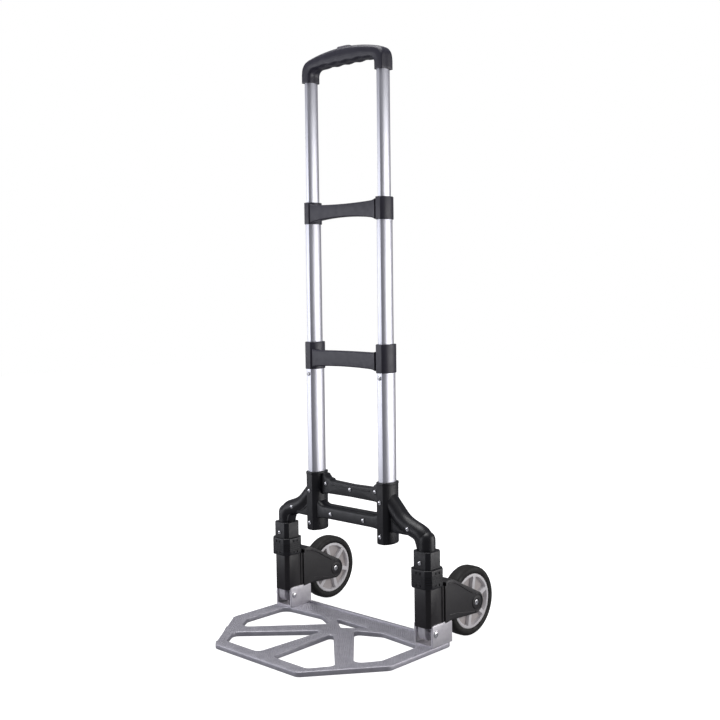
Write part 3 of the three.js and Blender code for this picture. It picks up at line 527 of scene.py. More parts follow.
# ---- Handle ----------------------------------------------
HANDLE_LO, HANDLE_HI = box("handle_front_shell")
HANDLE_BACK = box("handle_rear_shell")[1][1]
HANDLE_HALF = HANDLE_HI[0]
HANDLE_INNER = 2 * TUBE_X - HANDLE_HALF
CROWN_RADIUS = 352.0
GRIP_UNDERSIDE = 1040.0
ARCH_RADIUS = 13.0
SHOULDER_RADIUS = 15.0
FINGER_PITCH = 28.0
FINGER_DEPTH = 1.6
FACE_CROWN = 0.6


def crown(x):
    return HANDLE_HI[2] - CROWN_RADIUS + math.sqrt(CROWN_RADIUS ** 2 - x ** 2)


def handle_lines():
    """Pairs of points (outer, inner) along the handle, from the left leg's end to the right one's."""
    bottom = HANDLE_LO[2]
    turn_x = HANDLE_HALF - SHOULDER_RADIUS
    turn_z = crown(HANDLE_HALF) - SHOULDER_RADIUS + 3
    arch_x = HANDLE_INNER - ARCH_RADIUS
    arch_z = GRIP_UNDERSIDE - ARCH_RADIUS
    half = [((HANDLE_HALF, z1), (HANDLE_INNER, z2))
            for z1, z2 in zip(spread(bottom, turn_z, 5), spread(bottom, arch_z, 5))]
    for k in range(1, 13):
        share = k / 12
        a, b = math.radians(72) * share, math.pi / 2 * share
        outer = (turn_x + SHOULDER_RADIUS * math.cos(a), turn_z + SHOULDER_RADIUS * math.sin(a))
        inner = (arch_x + ARCH_RADIUS * math.cos(b), arch_z + ARCH_RADIUS * math.sin(b))
        half.append((outer, inner))
    last = half[-1][0][0]
    span = 40
    for k in range(1, span + 1):
        x_out = (last - 2) * (1 - k / span)
        x_in = arch_x * (1 - k / span)
        wave = 0.0
        if abs(x_in) < 2 * FINGER_PITCH:
            wave = FINGER_DEPTH * (1 - math.cos(2 * math.pi * x_in / FINGER_PITCH)) / 2
        half.append(((x_out, crown(x_out)), (x_in, GRIP_UNDERSIDE + wave)))
    left = [((-o[0], o[1]), (-i[0], i[1])) for o, i in half]
    return left + half[-2::-1]


def handle_section(width, split, outer_radius, inner_radius):
    """Half of the handle's section: (0, y) is its outer side and (width, y) its inner side."""
    turns = [math.pi / 2 * k / 6 for k in range(7)]
    points = [(0, split)]
    for a in turns:
        points.append((outer_radius * (1 - math.cos(a)), outer_radius * (1 - math.sin(a)) + FACE_CROWN))
    flat = width - outer_radius - inner_radius
    for k in range(1, 8):
        t = k / 8
        points.append((outer_radius + flat * t, FACE_CROWN - FACE_CROWN * math.sin(math.pi * t)))
    for a in turns[::-1]:
        points.append(
            (width - inner_radius * (1 - math.cos(a)), inner_radius * (1 - math.sin(a)) + FACE_CROWN)
        )
    points.append((width, split))
    return points


def handle_shell(front, split):
    rings = []
    sign = 1 if split > front else -1
    for outer, inner in handle_lines():
        o, i = Vector(outer), Vector(inner)
        width = (i - o).length
        way = (i - o).normalized()
        height = min(max((o.y - HANDLE_LO[2] - 14) / 26, 0), 1)
        ease = height * height * (3 - 2 * height)
        section = handle_section(width, abs(split - front), 1.8 + 6.5 * ease, 5.5 + 1.0 * ease)
        rings.append([(o.x + way.x * u, front + sign * v, o.y + way.y * u) for u, v in section])
    return loft(rings)


def handle():
    for node, front, split in (
        ("handle_front_shell", HANDLE_LO[1], TUBE_Y - GAP / 2),
        ("handle_rear_shell", HANDLE_BACK, TUBE_Y + GAP / 2),
    ):
        shell = cut(handle_shell(front, split), button_slot())
        piece(bevel(shell, 0.35, 2, 50), node, "upper_stage", HANDLE, 40)


BUTTON_LO, BUTTON_HI = box("release_button")
BUTTON_Y = (BUTTON_LO[1] + BUTTON_HI[1]) / 2
BUTTON_FOOT = HANDLE_HI[2] - 8.5
SLOT_FLOOR = HANDLE_HI[2] - 13.5
SPRING_ROOM = 5.2


def stadium(inset):
    """The button's outline, drawn in."""
    half = (BUTTON_HI[1] - BUTTON_LO[1]) / 2
    reach = (BUTTON_HI[0] - BUTTON_LO[0]) / 2 - half
    return [(math.copysign(reach, u) + u, BUTTON_Y + v) for u, v in circle(half - inset, 32, 0.5)]


def button_slot():
    return loft([ring_at(stadium(-0.4), 0, 0, z) for z in (SLOT_FLOOR, HANDLE_HI[2] + 4)])


def button():
    """The button with its crowned top and the room under it for the spring."""
    top = BUTTON_HI[2]
    rings = [ring_at(stadium(0), 0, 0, z) for z in (BUTTON_FOOT, HANDLE_HI[2] - 4, top - 2.2)]
    for inset, drop in ((0.25, 1.5), (0.8, 0.9), (1.8, 0.45), (3.2, 0.16), (4.8, 0.03), (6.0, 0)):
        rings.append(ring_at(stadium(inset), 0, 0, top - drop))
    room = cylinder(SPRING_ROOM, "z", (0, BUTTON_Y), BUTTON_FOOT - 2, BUTTON_FOOT + 4.2, 32)
    piece(cut(loft(rings), room), "release_button", "button", BUTTON, 40)


# ---- Braces ----------------------------------------------
BRACES = (
    ("upper_brace", "mid_stage", 2.2, dict(bottom=759, top=791, arch=6.0, dip=2.5)),
    ("lower_brace", "base", 0.0, dict(bottom=490, top=520, arch=2.5, dip=-1.0)),
)
SLEEVE_WALL = 1.6
BAR_DEPTH = 16.0


def brace_bar(front, reach, size):
    """The arched plate between two sleeves, flaring where it meets them."""
    rings = []
    for x in spread(-reach, reach, 48):
        bow = 1 - (x / reach) ** 2
        flare = max(abs(x) - (reach - 11), 0) / 11
        flare = 2.2 * flare * flare
        top = size["top"] - size["dip"] * bow + flare
        bottom = size["bottom"] + size["arch"] * bow - flare
        hollow = 1.2 * bow
        corners = rect(front + hollow, bottom, front + BAR_DEPTH, top)
        rings.append([(x, y, z) for y, z in rounded([(*corner, 2.2) for corner in corners], 4)])
    return loft(rings)


def braces():
    for node, body, inset, size in BRACES:
        lo, hi = box(node)
        outer = inset - GAP - SLEEVE_WALL
        sleeves = [
            sleeve(lambda d: oval(outer + d), lambda d: oval(inset - GAP + d),
                   s * TUBE_X, TUBE_Y, lo[2], hi[2], 1.1, 0.4)
            for s in (1, -1)
        ]
        bores = tube_bores(inset - GAP / 2, lo[2] - 5, hi[2] + 5)
        bar = brace_bar(lo[1] + 0.6, TUBE_X - OVAL_WIDTH / 2 + outer + 3, size)
        piece(cut(join(bar, *sleeves), *bores), node, body, HANDLE, 30)


# ---- Base frame ------------------------------------------
SOCKET_LO = box("frame_front_shell")[0][2]
SOCKET_INSET = -3.3
SOCKET_TOP = box("frame_front_shell")[1][2]
UPPER_BAR = dict(front=-5.2, back=11.0, bottom=247.0)
LOWER_BAR = dict(front=-15.2, back=12.0, bottom=202.0, top=227.0)
ARM_RADIUS = 16.0
SLEEVE_TOP = box("leg_collar_right")[1][2]
SEAM_Y = TUBE_Y + 3


def socket(s):
    """The wall that holds a base tube's foot, and the lip round its mouth."""
    lip = sleeve(
        lambda d: oval(SOCKET_INSET - 0.6 + d), lambda d: oval(-GAP / 2 + d),
        s * TUBE_X, TUBE_Y, SOCKET_TOP - 5, SOCKET_TOP, 1.2, 0.5,
    )
    wall = loft(
        [ring_at(oval(SOCKET_INSET + i), s * TUBE_X, TUBE_Y, SOCKET_LO + z)
         for i, z in ((3.2, 0), (1.9, 0.35), (0.9, 1.1), (0.25, 2.2), (0, 3.6))]
        + [ring_at(oval(SOCKET_INSET), s * TUBE_X, TUBE_Y, SOCKET_TOP - 3)]
    )
    return wall, lip


def upper_bar():
    end = TUBE_X - OVAL_WIDTH / 2
    outline = [
        (-end, 286, 0), (-67, 285, 2), (-61, 278, 3), (-53, 276.5, 2), (-51, 273.5, 2),
        (0, 271.5, 40), (50, 272.5, 8), (57, 275, 4), (63, 280.5, 3), (end, 281.5, 0),
        (end, 244, 0), (62, 248, 6), (0, 249, 60), (-62, 248, 6), (-end, 244, 0),
    ]
    body = slab([rounded(outline, 5)], "xz", UPPER_BAR["front"], UPPER_BAR["back"], 1.6)
    rib = slab(
        [rounded([(-50, 268, 1), (50, 267, 1), (50, 264.5, 1), (-50, 265.5, 1)], 3)],
        "xz", UPPER_BAR["front"] - 0.8, UPPER_BAR["front"] + 3, 0.4,
    )
    return body, rib


def lower_bar():
    end = TUBE_X - OVAL_WIDTH / 2
    rings = []
    for x in spread(-end, end, 44):
        near = max(abs(x) - (end - 18), 0) / 18
        swell = 9 * near ** 2.2 if x < 0 else 5 * near ** 2.2
        top = LOWER_BAR["top"] + swell
        bottom = LOWER_BAR["bottom"] - 0.4 * swell
        front = LOWER_BAR["front"]
        corners = [
            (front, bottom, 3), (LOWER_BAR["back"], bottom, 3),
            (LOWER_BAR["back"], top, 7), (front, top, 8),
        ]
        rings.append([(x, y, z) for y, z in rounded(corners, 6)])
    return loft(rings)


def arm():
    """The right-hand arm: a tubular rib over a thinner web, with a boss for its screw."""
    line = rounded_open([(84, 267.6), (131.1, 218.1, 72), (180, 200.7, 24), (180, SLEEVE_TOP - 4)], 12)
    rib = sweep([(x, 0, z) for x, z in line], lambda i: circle(ARM_RADIUS - 0.4, 40))
    dome = [
        (SLEEVE_TOP - 6, 15.6), (196, 15.6), (200, 15.1), (204, 13.4), (207, 10.9), (209.5, 7.6),
        (211, 3.6),
    ]
    end = loft([ring_at(circle(radius, 40), LEG_X, 0, z) for z, radius in dome])
    web = slab(
        [rounded([
            (TUBE_X, 199, 0), (150, 199.5, 6), (160, 193, 8), (165, 178, 0), (180, 178, 0),
            (184, 200, 0), (131.1, 226, 20), (TUBE_X, 272, 0),
        ], 6)],
        "xz", -10.5, 10.5, 2.2,
    )
    ridge = rounded_open([(104, 224), (126, 207, 24), (150, 203)], 8)
    bead = sweep([(x, -10.3, z) for x, z in ridge], lambda i: circle(1.3, 10))
    x, _, z = middle("arm_screw_right")
    boss = cylinder(6.2, "y", (x, z), -ARM_RADIUS + 0.9, 0, 32, 0.5)
    return rib, end, web, bead, boss


def half_space(front):
    """The block in front of the frame's seam, or the one behind it."""
    y0, y1 = (-FAR, SEAM_Y - GAP / 2) if front else (SEAM_Y + GAP / 2, FAR)
    return slab([rect(-FAR, 100, FAR, 400)], "xz", y0, y1)


def screw_bosses():
    """Flat pads under the screws of the two bars."""
    pads = []
    for bar, front, places in (
        ("upper_bar_screw_", UPPER_BAR["front"], ("left", "centre", "right")),
        ("lower_bar_screw_", LOWER_BAR["front"], ("left", "right")),
    ):
        for place in places:
            x, _, z = middle(bar + place)
            pads.append(cylinder(5.4, "y", (x, z), front - 0.1, front + 4, 28, 0.3))
    return pads


def base_frame():
    right = arm()
    arms = [*right, *[mirrored(part) for part in right]]
    sockets = [part for s in (1, -1) for part in socket(s)]
    whole = join(lower_bar(), *sockets, *upper_bar(), *arms, *screw_bosses())
    post_top = box("leg_post_right")[1][2]
    bores = tube_bores(-GAP / 2, SOCKET_LO + 2.8, SOCKET_TOP + 4)
    posts = [cylinder(12.3, "z", (s * LEG_X, 0), 150, post_top + GAP, 32) for s in (1, -1)]
    whole = cut(whole, *bores, *posts)
    front = boolean(copy_of(whole), "INTERSECT", half_space(True))
    rear = boolean(whole, "INTERSECT", half_space(False))
    piece(front, "frame_front_shell", "base", FRAME, 30)
    piece(rear, "frame_rear_shell", "base", FRAME, 30)


# ---- Legs ------------------------------------------------
COLLAR_LO = box("leg_collar_right")[0][2]
COLLAR_TOP = 147.2
SLEEVE_HALF = 19.5
COLLAR_HALF = 23.9
POST_RADIUS = 12.0


def octagon(half, cut_off, radius, steps=4):
    h, c = half, half - cut_off
    corners = [(h, -c), (h, c), (c, h), (-c, h), (-h, c), (-h, -c), (-c, -h), (c, -h)]
    return rounded([(u, v, radius) for u, v in corners], steps)


def collar():
    """The right-hand collar: a faceted sleeve above a wider ring with bands and slots."""
    def ring_side(grow):
        return lambda d: octagon(COLLAR_HALF + grow - d, 9, 3.0, 8)

    def bore(d):
        return hole_like(octagon(COLLAR_HALF, 9, 3.0, 8), POST_RADIUS + GAP - d)

    upper = sleeve(
        lambda d: octagon(SLEEVE_HALF - d, 6.5, 2.4, 8), bore,
        LEG_X, 0, COLLAR_TOP - 4, SLEEVE_TOP, 1.4, 0.4,
    )
    ring = sleeve(ring_side(0), bore, LEG_X, 0, COLLAR_LO, COLLAR_TOP, 1.8, 0.4)
    outside = join(ring, upper)
    grooves = [
        sleeve(ring_side(3), ring_side(-0.9), LEG_X, 0, z - 0.8, z + 0.8, 0.1, 0.1)
        for z in (122.5, 126.5, 130.5, 134.5)
    ]
    slots = []
    for z0, z1 in ((117, 121), (138.5, 143)):
        for u in (-4.5, 4.5):
            for to_x, to_y in ((1, 0), (0, -1), (-1, 0), (0, 1)):
                x = LEG_X + to_x * COLLAR_HALF - to_y * u
                y = to_y * COLLAR_HALF + to_x * u
                hx, hy = (1.4, 1.3) if to_x else (1.3, 1.4)
                slots.append(slab([rect(x - hx, y - hy, x + hx, y + hy)], "xy", z0, z1))
    return cut(outside, *grooves, merge(*slots))


def foot():
    """The metal foot under a leg: a thrust ring and a rounded hinge tongue."""
    ring = cylinder(16.5, "z", (LEG_X, 0), 45.6, 48.7, 64, 0.5)
    spigot = cylinder(9.3, "z", (LEG_X, 0), 47, 78, 32, 0.6)
    y, z = HINGE
    outline = rounded([(y - 13, 46.9, 0), (y - 13, z - 13, 12.5), (y + 13, z - 13, 12.5),
                       (y + 15, 46.9, 0)], 10)
    tongue = slab([outline], "yz", LEG_X - 8, LEG_X + 8, 1.2)
    bore = cylinder(4.4, "x", HINGE, LEG_X - 30, LEG_X + 30, 40)
    return cut(join(tongue, ring, spigot), bore)


def legs():
    pairs(
        (collar(), "leg_collar_", "base", "frame_plastic", FRAME, 28),
        (foot(), "leg_foot_", "base", "cast_metal", CAST, 30),
    )


# ---- Forks -----------------------------------------------
FORK_HALF = 22.6
FORK_CHEEK = 4.0
HOUSING_LO = box("wheel_fork_right")[0][2]
HOUSING_TOP = COLLAR_LO - 0.4
NOSE_RADIUS = 20.0
RIM_LINE = 16.5


def across(w, near, far):
    """Two places on one side of a leg's middle, the lower one first."""
    return sorted((LEG_X + w * near, LEG_X + w * far))


def fork():
    """The right-hand fork: a housing round the post and two cheeks back to the axle."""
    x = LEG_X
    y, z = AXLE_LINE
    low = HOUSING_LO
    housing = sleeve(
        lambda d: octagon(19 - d, 6.5, 2.2, 8),
        lambda d: hole_like(octagon(19, 6.5, 2.2, 8), POST_RADIUS + 0.4 - d),
        x, 0, low, HOUSING_TOP, 1.0, 0.4,
    )
    nose = [(y + NOSE_RADIUS * math.cos(a), z + NOSE_RADIUS * math.sin(a))
            for a in [math.radians(degrees) for degrees in spread(-97, 66, 24)]]
    outline = [
        (8, low + 1.5), (30, low + 2.5), (41, low + 4), *nose, (60, 112.5), (48, 119.2), (44, 120.8),
        (40, 121.4), (31, 121.4), (25.5, 118.5), (25, HOUSING_TOP - 0.5), (8, HOUSING_TOP - 0.5),
    ]
    block = slab([outline], "yz", x - FORK_HALF, x + FORK_HALF, 1.2)
    boss = cylinder(12.5, "x", AXLE_LINE, x - FORK_HALF - 1, x + FORK_HALF + 1, 64, 0.7)
    upper_line = [(33, 115.0), (48, 113.0), (62, 106.5), (88, 90.5), (101, 83.5)]
    lower_line = [(33, 59), (60, 56.5), (90, 50.5), (106, 48.2)]
    rim = [(y + RIM_LINE * math.cos(a), z + RIM_LINE * math.sin(a))
           for a in spread(math.radians(-100), math.radians(100), 24)]
    lines = [
        sweep([(x + w * FORK_HALF, *point) for point in line], lambda i: circle(0.9, 8), (1, 0, 0))
        for w in (-1, 1) for line in (upper_line, lower_line, rim)
    ]
    wheel_half = FORK_HALF - FORK_CHEEK
    room = cylinder(WHEEL_RADIUS + 4, "x", AXLE_LINE, x - wheel_half, x + wheel_half, 128)
    grooves = [slab([rect(17.5, 20, 23, 130)], "yz", *across(w, FORK_HALF - 2.2, FORK_HALF + 4))
               for w in (-1, 1)]
    necks = [slab([rect(0, 20, 17.5, 130)], "yz", *across(w, 19, 40)) for w in (-1, 1)]
    clear = cylinder(24.8, "z", (x, 0), HOUSING_TOP - 0.3, 140, 72)
    body = cut(join(block, boss, *lines), room, *grooves, *necks, clear)
    body = join(body, housing)
    bore = cylinder(POST_RADIUS + 0.4, "z", (x, 0), 20, 140, 72)
    axle_bore = cylinder(4.3, "x", AXLE_LINE, x - 40, x + 40, 40)
    heads = [cylinder(6.6, "x", AXLE_LINE, *across(w, 21.2, 30), 40) for w in (-1, 1)]
    return cut(body, bore, axle_bore, *heads)


def axle_piece():
    lo, hi = box("axle_right")
    shaft = cylinder(4.0, "x", AXLE_LINE, lo[0] + 1, hi[0] - 1, 40)
    half = (hi[0] - lo[0]) / 2
    heads = []
    for w in (-1, 1):
        head = cylinder(5.4, "x", AXLE_LINE, *across(w, half, half - 2.0), 48, 0.8)
        well = cylinder(2.3, "x", AXLE_LINE, *across(w, half + 1, half - 1), 6)
        heads.append(cut(head, well))
    return join(shaft, *heads)


# ---- Wheels ----------------------------------------------
HUB_RADIUS = 50.2
HUB_FACE = 12.1
HUB_BORE = 7.4
SPOKES = 6
SPOKE_HALF = 3.6
PRESSED_IN, PRESSED_OUT = 15.5, HUB_RADIUS - 5.2
PRESSED_DEPTH = 6.0
PRESSED_SLOPE = 1.6
PER_SECTOR = 16


def hub_disc(turn):
    """A wheel centre as a turned body whose faces are pressed in between the spokes."""
    radii = [
        HUB_BORE, 9.5, 12.5, PRESSED_IN, PRESSED_IN + PRESSED_SLOPE, 20, 25, 30, 35, 40,
        PRESSED_OUT - PRESSED_SLOPE, PRESSED_OUT, HUB_RADIUS - 1.6,
    ]
    columns = SPOKES * PER_SECTOR
    rows = len(radii)

    def column_angle(radius, k):
        """A column's angle from its spoke: close by the spoke, and mirrored in the sector's middle."""
        edge = math.asin(SPOKE_HALF / radius)
        wall = math.asin((SPOKE_HALF + PRESSED_SLOPE * 0.7) / radius)
        half = math.pi / SPOKES
        marks = [0, edge / 2, edge, wall, *[wall + (half - wall) * i / 5 for i in range(1, 5)], half]
        return marks[k] if k <= 8 else 2 * half - marks[PER_SECTOR - k]

    def at(face, row, column):
        sector, k = divmod(column, PER_SECTOR)
        radius = radii[row]
        angle = turn + 2 * math.pi * sector / SPOKES + column_angle(max(radius, PRESSED_IN), k)
        pressed = PRESSED_IN < radius < PRESSED_OUT and 3 <= k <= 13
        x = HUB_FACE - (PRESSED_DEPTH if pressed else 0) - (0.6 if row == 0 else 0)
        return face * x, radius * math.cos(angle), radius * math.sin(angle)

    verts, faces = [], []
    for face in (1, -1):
        verts += [at(face, row, column) for row in range(rows) for column in range(columns)]
    rim_profile = [(HUB_FACE - 0.3, HUB_RADIUS - 0.5), (HUB_FACE - 1.2, HUB_RADIUS)]
    rims = []
    for x, radius in [*rim_profile, *[(-a, b) for a, b in rim_profile[::-1]]]:
        rims.append(len(verts))
        for column in range(columns):
            _, y, z = at(1, rows - 1, column)
            length = math.hypot(y, z)
            verts.append((x, y / length * radius, z / length * radius))

    def strip(a, b):
        for c in range(columns):
            d = (c + 1) % columns
            faces.append((a + c, a + d, b + d, b + c))

    side = rows * columns
    for start in (0, side):
        for row in range(rows - 1):
            strip(start + row * columns, start + (row + 1) * columns)
    chain = [(rows - 1) * columns, *rims, side + (rows - 1) * columns]
    for a, b in zip(chain, chain[1:]):
        strip(a, b)
    strip(0, side)
    return verts, faces


def wheels():
    half_tyre = [
        (-12.6, HUB_RADIUS + 0.3), (-13.0, HUB_RADIUS + 1.2), (-13.5, 54.5), (-13.5, 57.2),
        (-13.1, 59.4), (-12.0, 61.3), (-10.2, 62.7), (-7.8, 63.3), (-4, 63.5), (0, 63.5),
    ]
    tyre_profile = half_tyre + [(-a, b) for a, b in half_tyre[-2::-1]]
    for (side, s), turn in zip(SIDES, (46, 80)):
        x, y, z = s * LEG_X, *AXLE_LINE
        verts, faces = hub_disc(math.radians(turn))
        made = new_object("hub", [(x + a, y + b, z + c) for a, b, c in verts], faces)
        hub = piece(made, "hub_" + side, "wheel_" + side, HUB, 25).data
        # Second slot: the sunk panel floors between the spokes take the darker colour, painted shade in
        # the recesses.
        hub.materials.append(HUB_RECESS_SHADE)
        for face in hub.polygons:
            sunk = all(abs(hub.vertices[v].co.x / MM - x) < 6.3 for v in face.vertices)
            if sunk and abs(face.normal.x) > 0.9:
                face.material_index = 1
        tyre = lathe(tyre_profile, (x, y, z), 128)
        piece(tyre, "tyre_" + side, "wheel_" + side, RUBBER, 40)


def forks_and_wheels():
    pairs(
        (fork(), "wheel_fork_", "fork_{}", "fork_plastic", FORK, 28),
        (axle_piece(), "axle_", "fork_{}", "steel", STEEL, 30),
    )
    wheels()


# ---- Toe plate -------------------------------------------
PLATE_LO, PLATE_HI = box("toe_plate")
PLATE_TOP = 9.0
PLATE_CORNERS = [
    (-106, PLATE_LO[1], 14), (106, PLATE_LO[1], 14), (PLATE_HI[0], -122, 18),
    (PLATE_HI[0], PLATE_HI[1], 14), (PLATE_LO[0], PLATE_HI[1], 14), (PLATE_LO[0], -122, 18),
]
FRONT_WINDOW = [(12, -66, 6), (18, -221, 12), (104, -221, 12), (131, -182, 12)]
SIDE_WINDOW = [(30, -30, 10), (146, -153, 14), (173, -112, 14), (173, -14, 18), (80, -6, 16)]
MIDDLE_WINDOW = [(0, -34, 6), (46, -1, 4), (-46, -1, 4)]
PLATE_SKIN = 3
RIDGE_PITCH = 3.8
RIDGE_HEIGHT = 0.9
RIDGE_ANGLE = math.radians(40.5)
RIDGE_FACES = (0, 1, 3, 2), (2, 3, 5, 4), (4, 5, 7, 6), (0, 2, 4, 6), (1, 7, 5, 3), (0, 6, 7, 1)


def flipped(corners):
    return [(-u, v, r) for u, v, r in corners][::-1]


WINDOWS = [FRONT_WINDOW, flipped(FRONT_WINDOW), SIDE_WINDOW, flipped(SIDE_WINDOW), MIDDLE_WINDOW]


def crossings(loop, x):
    """Where a closed outline crosses the line at x, as heights in order."""
    found = []
    for (x0, y0), (x1, y1) in zip(loop, loop[1:] + loop[:1]):
        if (x0 - x) * (x1 - x) < 0:
            found.append(y0 + (y1 - y0) * (x - x0) / (x1 - x0))
    return sorted(found)


def ridge_runs(x, outline, windows, margin):
    """The stretches of the plate's top along Y at x, kept off its edges by a margin."""
    ends = crossings(outline, x)
    if len(ends) < 2:
        return []
    runs = [(ends[0] + margin, ends[-1] - margin)]
    for window in windows:
        near = [crossings(window, x + d) for d in (-margin, 0, margin)]
        near = [c for c in near if len(c) >= 2]
        if not near:
            continue
        lo = min(c[0] for c in near) - margin
        hi = max(c[-1] for c in near) + margin
        runs = [
            run for a, b in runs
            for run in ([(a, b)] if hi <= a or lo >= b else [(a, lo), (hi, b)])
        ]
    return [(a, b) for a, b in runs if b - a > 5]


def turned(points, angle):
    c, d = math.cos(angle), math.sin(angle)
    return [(x * c + y * d, y * c - x * d) for x, y in points]


def ridges(windows):
    """Raised lines across the top, off the windows, the lip and the hinge brackets."""
    corners = [(x, min(y, PLATE_HI[1] - 8), r) for x, y, r in PLATE_CORNERS]
    outline = turned(rounded(corners, 10), RIDGE_ANGLE)
    feet = []
    for side, _ in SIDES:
        lo, hi = box("hinge_bracket_" + side)
        feet.append(rect(*lo[:2], *hi[:2]))
    kept_off = [turned(loop, RIDGE_ANGLE) for loop in (*windows, *feet)]
    verts, faces = [], []
    half, crest = 1.0, 0.45
    low, top = PLATE_TOP - 0.3, PLATE_TOP + RIDGE_HEIGHT
    across_plate = [x for x, _ in outline]
    for i in range(int(min(across_plate) / RIDGE_PITCH), int(max(across_plate) / RIDGE_PITCH) + 1):
        x = i * RIDGE_PITCH
        for a, b in ridge_runs(x, outline, kept_off, 4.0):
            base = len(verts)
            for y, dx, z in (
                (a, half, low), (a + 0.8, crest, top), (b - 0.8, crest, top), (b, half, low),
            ):
                pair = turned([(x - dx, y), (x + dx, y)], -RIDGE_ANGLE)
                verts += [(px, py, z) for px, py in pair]
            faces += [tuple(base + k for k in face) for face in RIDGE_FACES]
    return new_object("ridges", verts, faces)


def toe_plate():
    """The plate, hollow underneath, with the lip along its back and its ridges."""
    windows = [rounded(window, 8) for window in WINDOWS]
    plate = slab([rounded(PLATE_CORNERS, 10), *windows], "xy", 0, PLATE_TOP, 1.6)
    tray_outline = rounded(inset_corners(PLATE_CORNERS, PLATE_SKIN), 10)
    tray_windows = [rounded(inset_corners(window, -PLATE_SKIN), 8) for window in WINDOWS]
    tray = slab([tray_outline, *tray_windows], "xy", -PLATE_SKIN, PLATE_TOP - PLATE_SKIN)
    plate = cut(plate, tray)
    end = LEG_X - 23.5
    back = PLATE_HI[1] - 0.2
    foot_z, top = PLATE_TOP - 2, PLATE_HI[2]
    lip = [(back - 7.5, foot_z, 0), (back - 7, top, 2.0), (back, top, 2.0), (back, foot_z, 0)]
    plate = join(plate, slab([rounded(lip, 5)], "yz", -end, end, 0.8))
    piece(merge(plate, ridges(windows)), "toe_plate", "toe_plate", PLATE, 30)


def inset_corners(corners, distance):
    """A polygon's corners with every side moved in by a distance."""
    count = len(corners)
    area = 0
    for (x0, y0, _), (x1, y1, _) in zip(corners[-1:] + corners[:-1], corners):
        area += x0 * y1 - x1 * y0
    way = math.copysign(1, area)
    moved = []
    for i in range(count):
        here = Vector(corners[i][:2])
        before = (here - Vector(corners[i - 1][:2])).normalized()
        after = (Vector(corners[(i + 1) % count][:2]) - here).normalized()
        n0 = Vector((-before.y, before.x)) * way
        n1 = Vector((-after.y, after.x)) * way
        shift = (n0 + n1) / (1 + n0.dot(n1)) * distance
        turn = before.x * after.y - before.y * after.x
        grow = distance if turn * way > 0 else -distance
        moved.append((*(here + shift), max(corners[i][2] - grow, 0)))
    return moved


# ---- Hinges ----------------------------------------------
BRACKET_TOP = 16.1
PIN_HEAD = [(0, 5.8), (0.9, 5.8), (1.6, 5.0), (2.0, 3.4), (2.1, 2.0)]


def bracket():
    """The right-hand bracket, and the round pads that stand out from its cheeks."""
    lo, hi = box("hinge_bracket_right")
    y, z = HINGE
    over = [(y + BRACKET_TOP * math.cos(a), z + BRACKET_TOP * math.sin(a))
            for a in [math.radians(degrees) for degrees in spread(90, 120, 8)]]
    outline = [(y - 8, lo[2]), (hi[1], lo[2]), (hi[1], hi[2] - 4), (hi[1] - 1.2, hi[2] - 1.2),
               (hi[1] - 4, hi[2]), *over]
    cheeks = slab([outline], "yz", lo[0], hi[0], 0.9)
    left, right, floor_z = lo[0] + 4, hi[0] - 4, lo[2] + 3
    inside = rounded([(left, floor_z, 2), (left, 90, 0), (right, 90, 0), (right, floor_z, 2)], 4)
    room = slab([inside], "xz", over[-1][0] - 30, hi[1] + 20)
    bore = cylinder(4.3, "x", HINGE, lo[0] - 5, hi[0] + 5, 40)
    pads = [cylinder(8.2, "x", HINGE, *sorted((x0, x0 + w)), 48, 0.25)
            for x0, w in ((lo[0] + 0.4, -0.65), (hi[0] - 0.4, 0.65))]
    foot_corners = rect(LEG_X - 21.3, y - 8, LEG_X + 21.3, hi[1])
    foot_outline = rounded([(*corner, 2) for corner in foot_corners], 4)
    foot_plate = slab([foot_outline], "xy", lo[2] - 0.25, lo[2] + 1.5, 0.3)
    return cut(join(cut(cheeks, room), foot_plate), bore), pads


def hinge_pin():
    lo, hi = box("hinge_pin_right")
    y, z = HINGE
    shaft = cylinder(4.0, "x", HINGE, lo[0] + 1, hi[0] - 1, 40)
    under = hi[0] - PIN_HEAD[-1][0]
    head = loft([[(under + along, y + u, z + v) for u, v in circle(r, 48)] for along, r in PIN_HEAD])
    dimple = cylinder(2.1, "x", HINGE, hi[0] - 0.7, hi[0] + 2, 24)
    nut = cylinder(5.0, "x", HINGE, lo[0], lo[0] + 1.8, 6)
    return merge(cut(head, dimple), shaft, bevel(nut, 0.4, 2, 30))


def hinges():
    made, pads = bracket()
    bored = [cut(pad, cylinder(4.3, "x", HINGE, LEG_X - 60, LEG_X + 60, 40)) for pad in pads]
    pairs(
        (merge(made, *bored), "hinge_bracket_", "toe_plate", "cast_metal", CAST, 30),
        (hinge_pin(), "hinge_pin_", "toe_plate", "steel", STEEL, 30),
    )


# ---- Screws ----------------------------------------------
SCREW_NODES = [
    "upper_bar_screw_left", "upper_bar_screw_centre", "upper_bar_screw_right",
    *[prefix + side for prefix in (
        "handle_screw_", "stop_screw_", "lower_bar_screw_", "arm_screw_", "socket_upper_screw_",
        "socket_lower_screw_", "collar_screw_") for side in ("left", "right")],
]
HEAD_RADIUS = 3.8
HEAD_HEIGHT = 2.1


def screw_mesh():
    """A pan-head screw about the origin with a cross recess, its head towards -Y."""
    edge = HEAD_RADIUS
    profile = [
        (1.6, 1.55), (0.02, 1.6), (0, edge - 0.35), (-0.25, edge), (-0.9, edge - 0.08),
        (-1.45, edge - 0.55), (-1.82, edge - 1.25), (-2.02, edge - 2.1), (-HEAD_HEIGHT, edge - 3.1),
    ]
    head = loft([[(u, along, v) for u, v in circle(radius, 32)] for along, radius in profile])
    arms = [
        loft([[(u * k, y, v * k) for u, v in rect(-a, -b, a, b)]
              for y, k in ((-HEAD_HEIGHT - 0.5, 1.15), (-0.5, 0.55))])
        for a, b in ((0.5, 2.1), (2.1, 0.5))
    ]
    return cut(head, *arms)


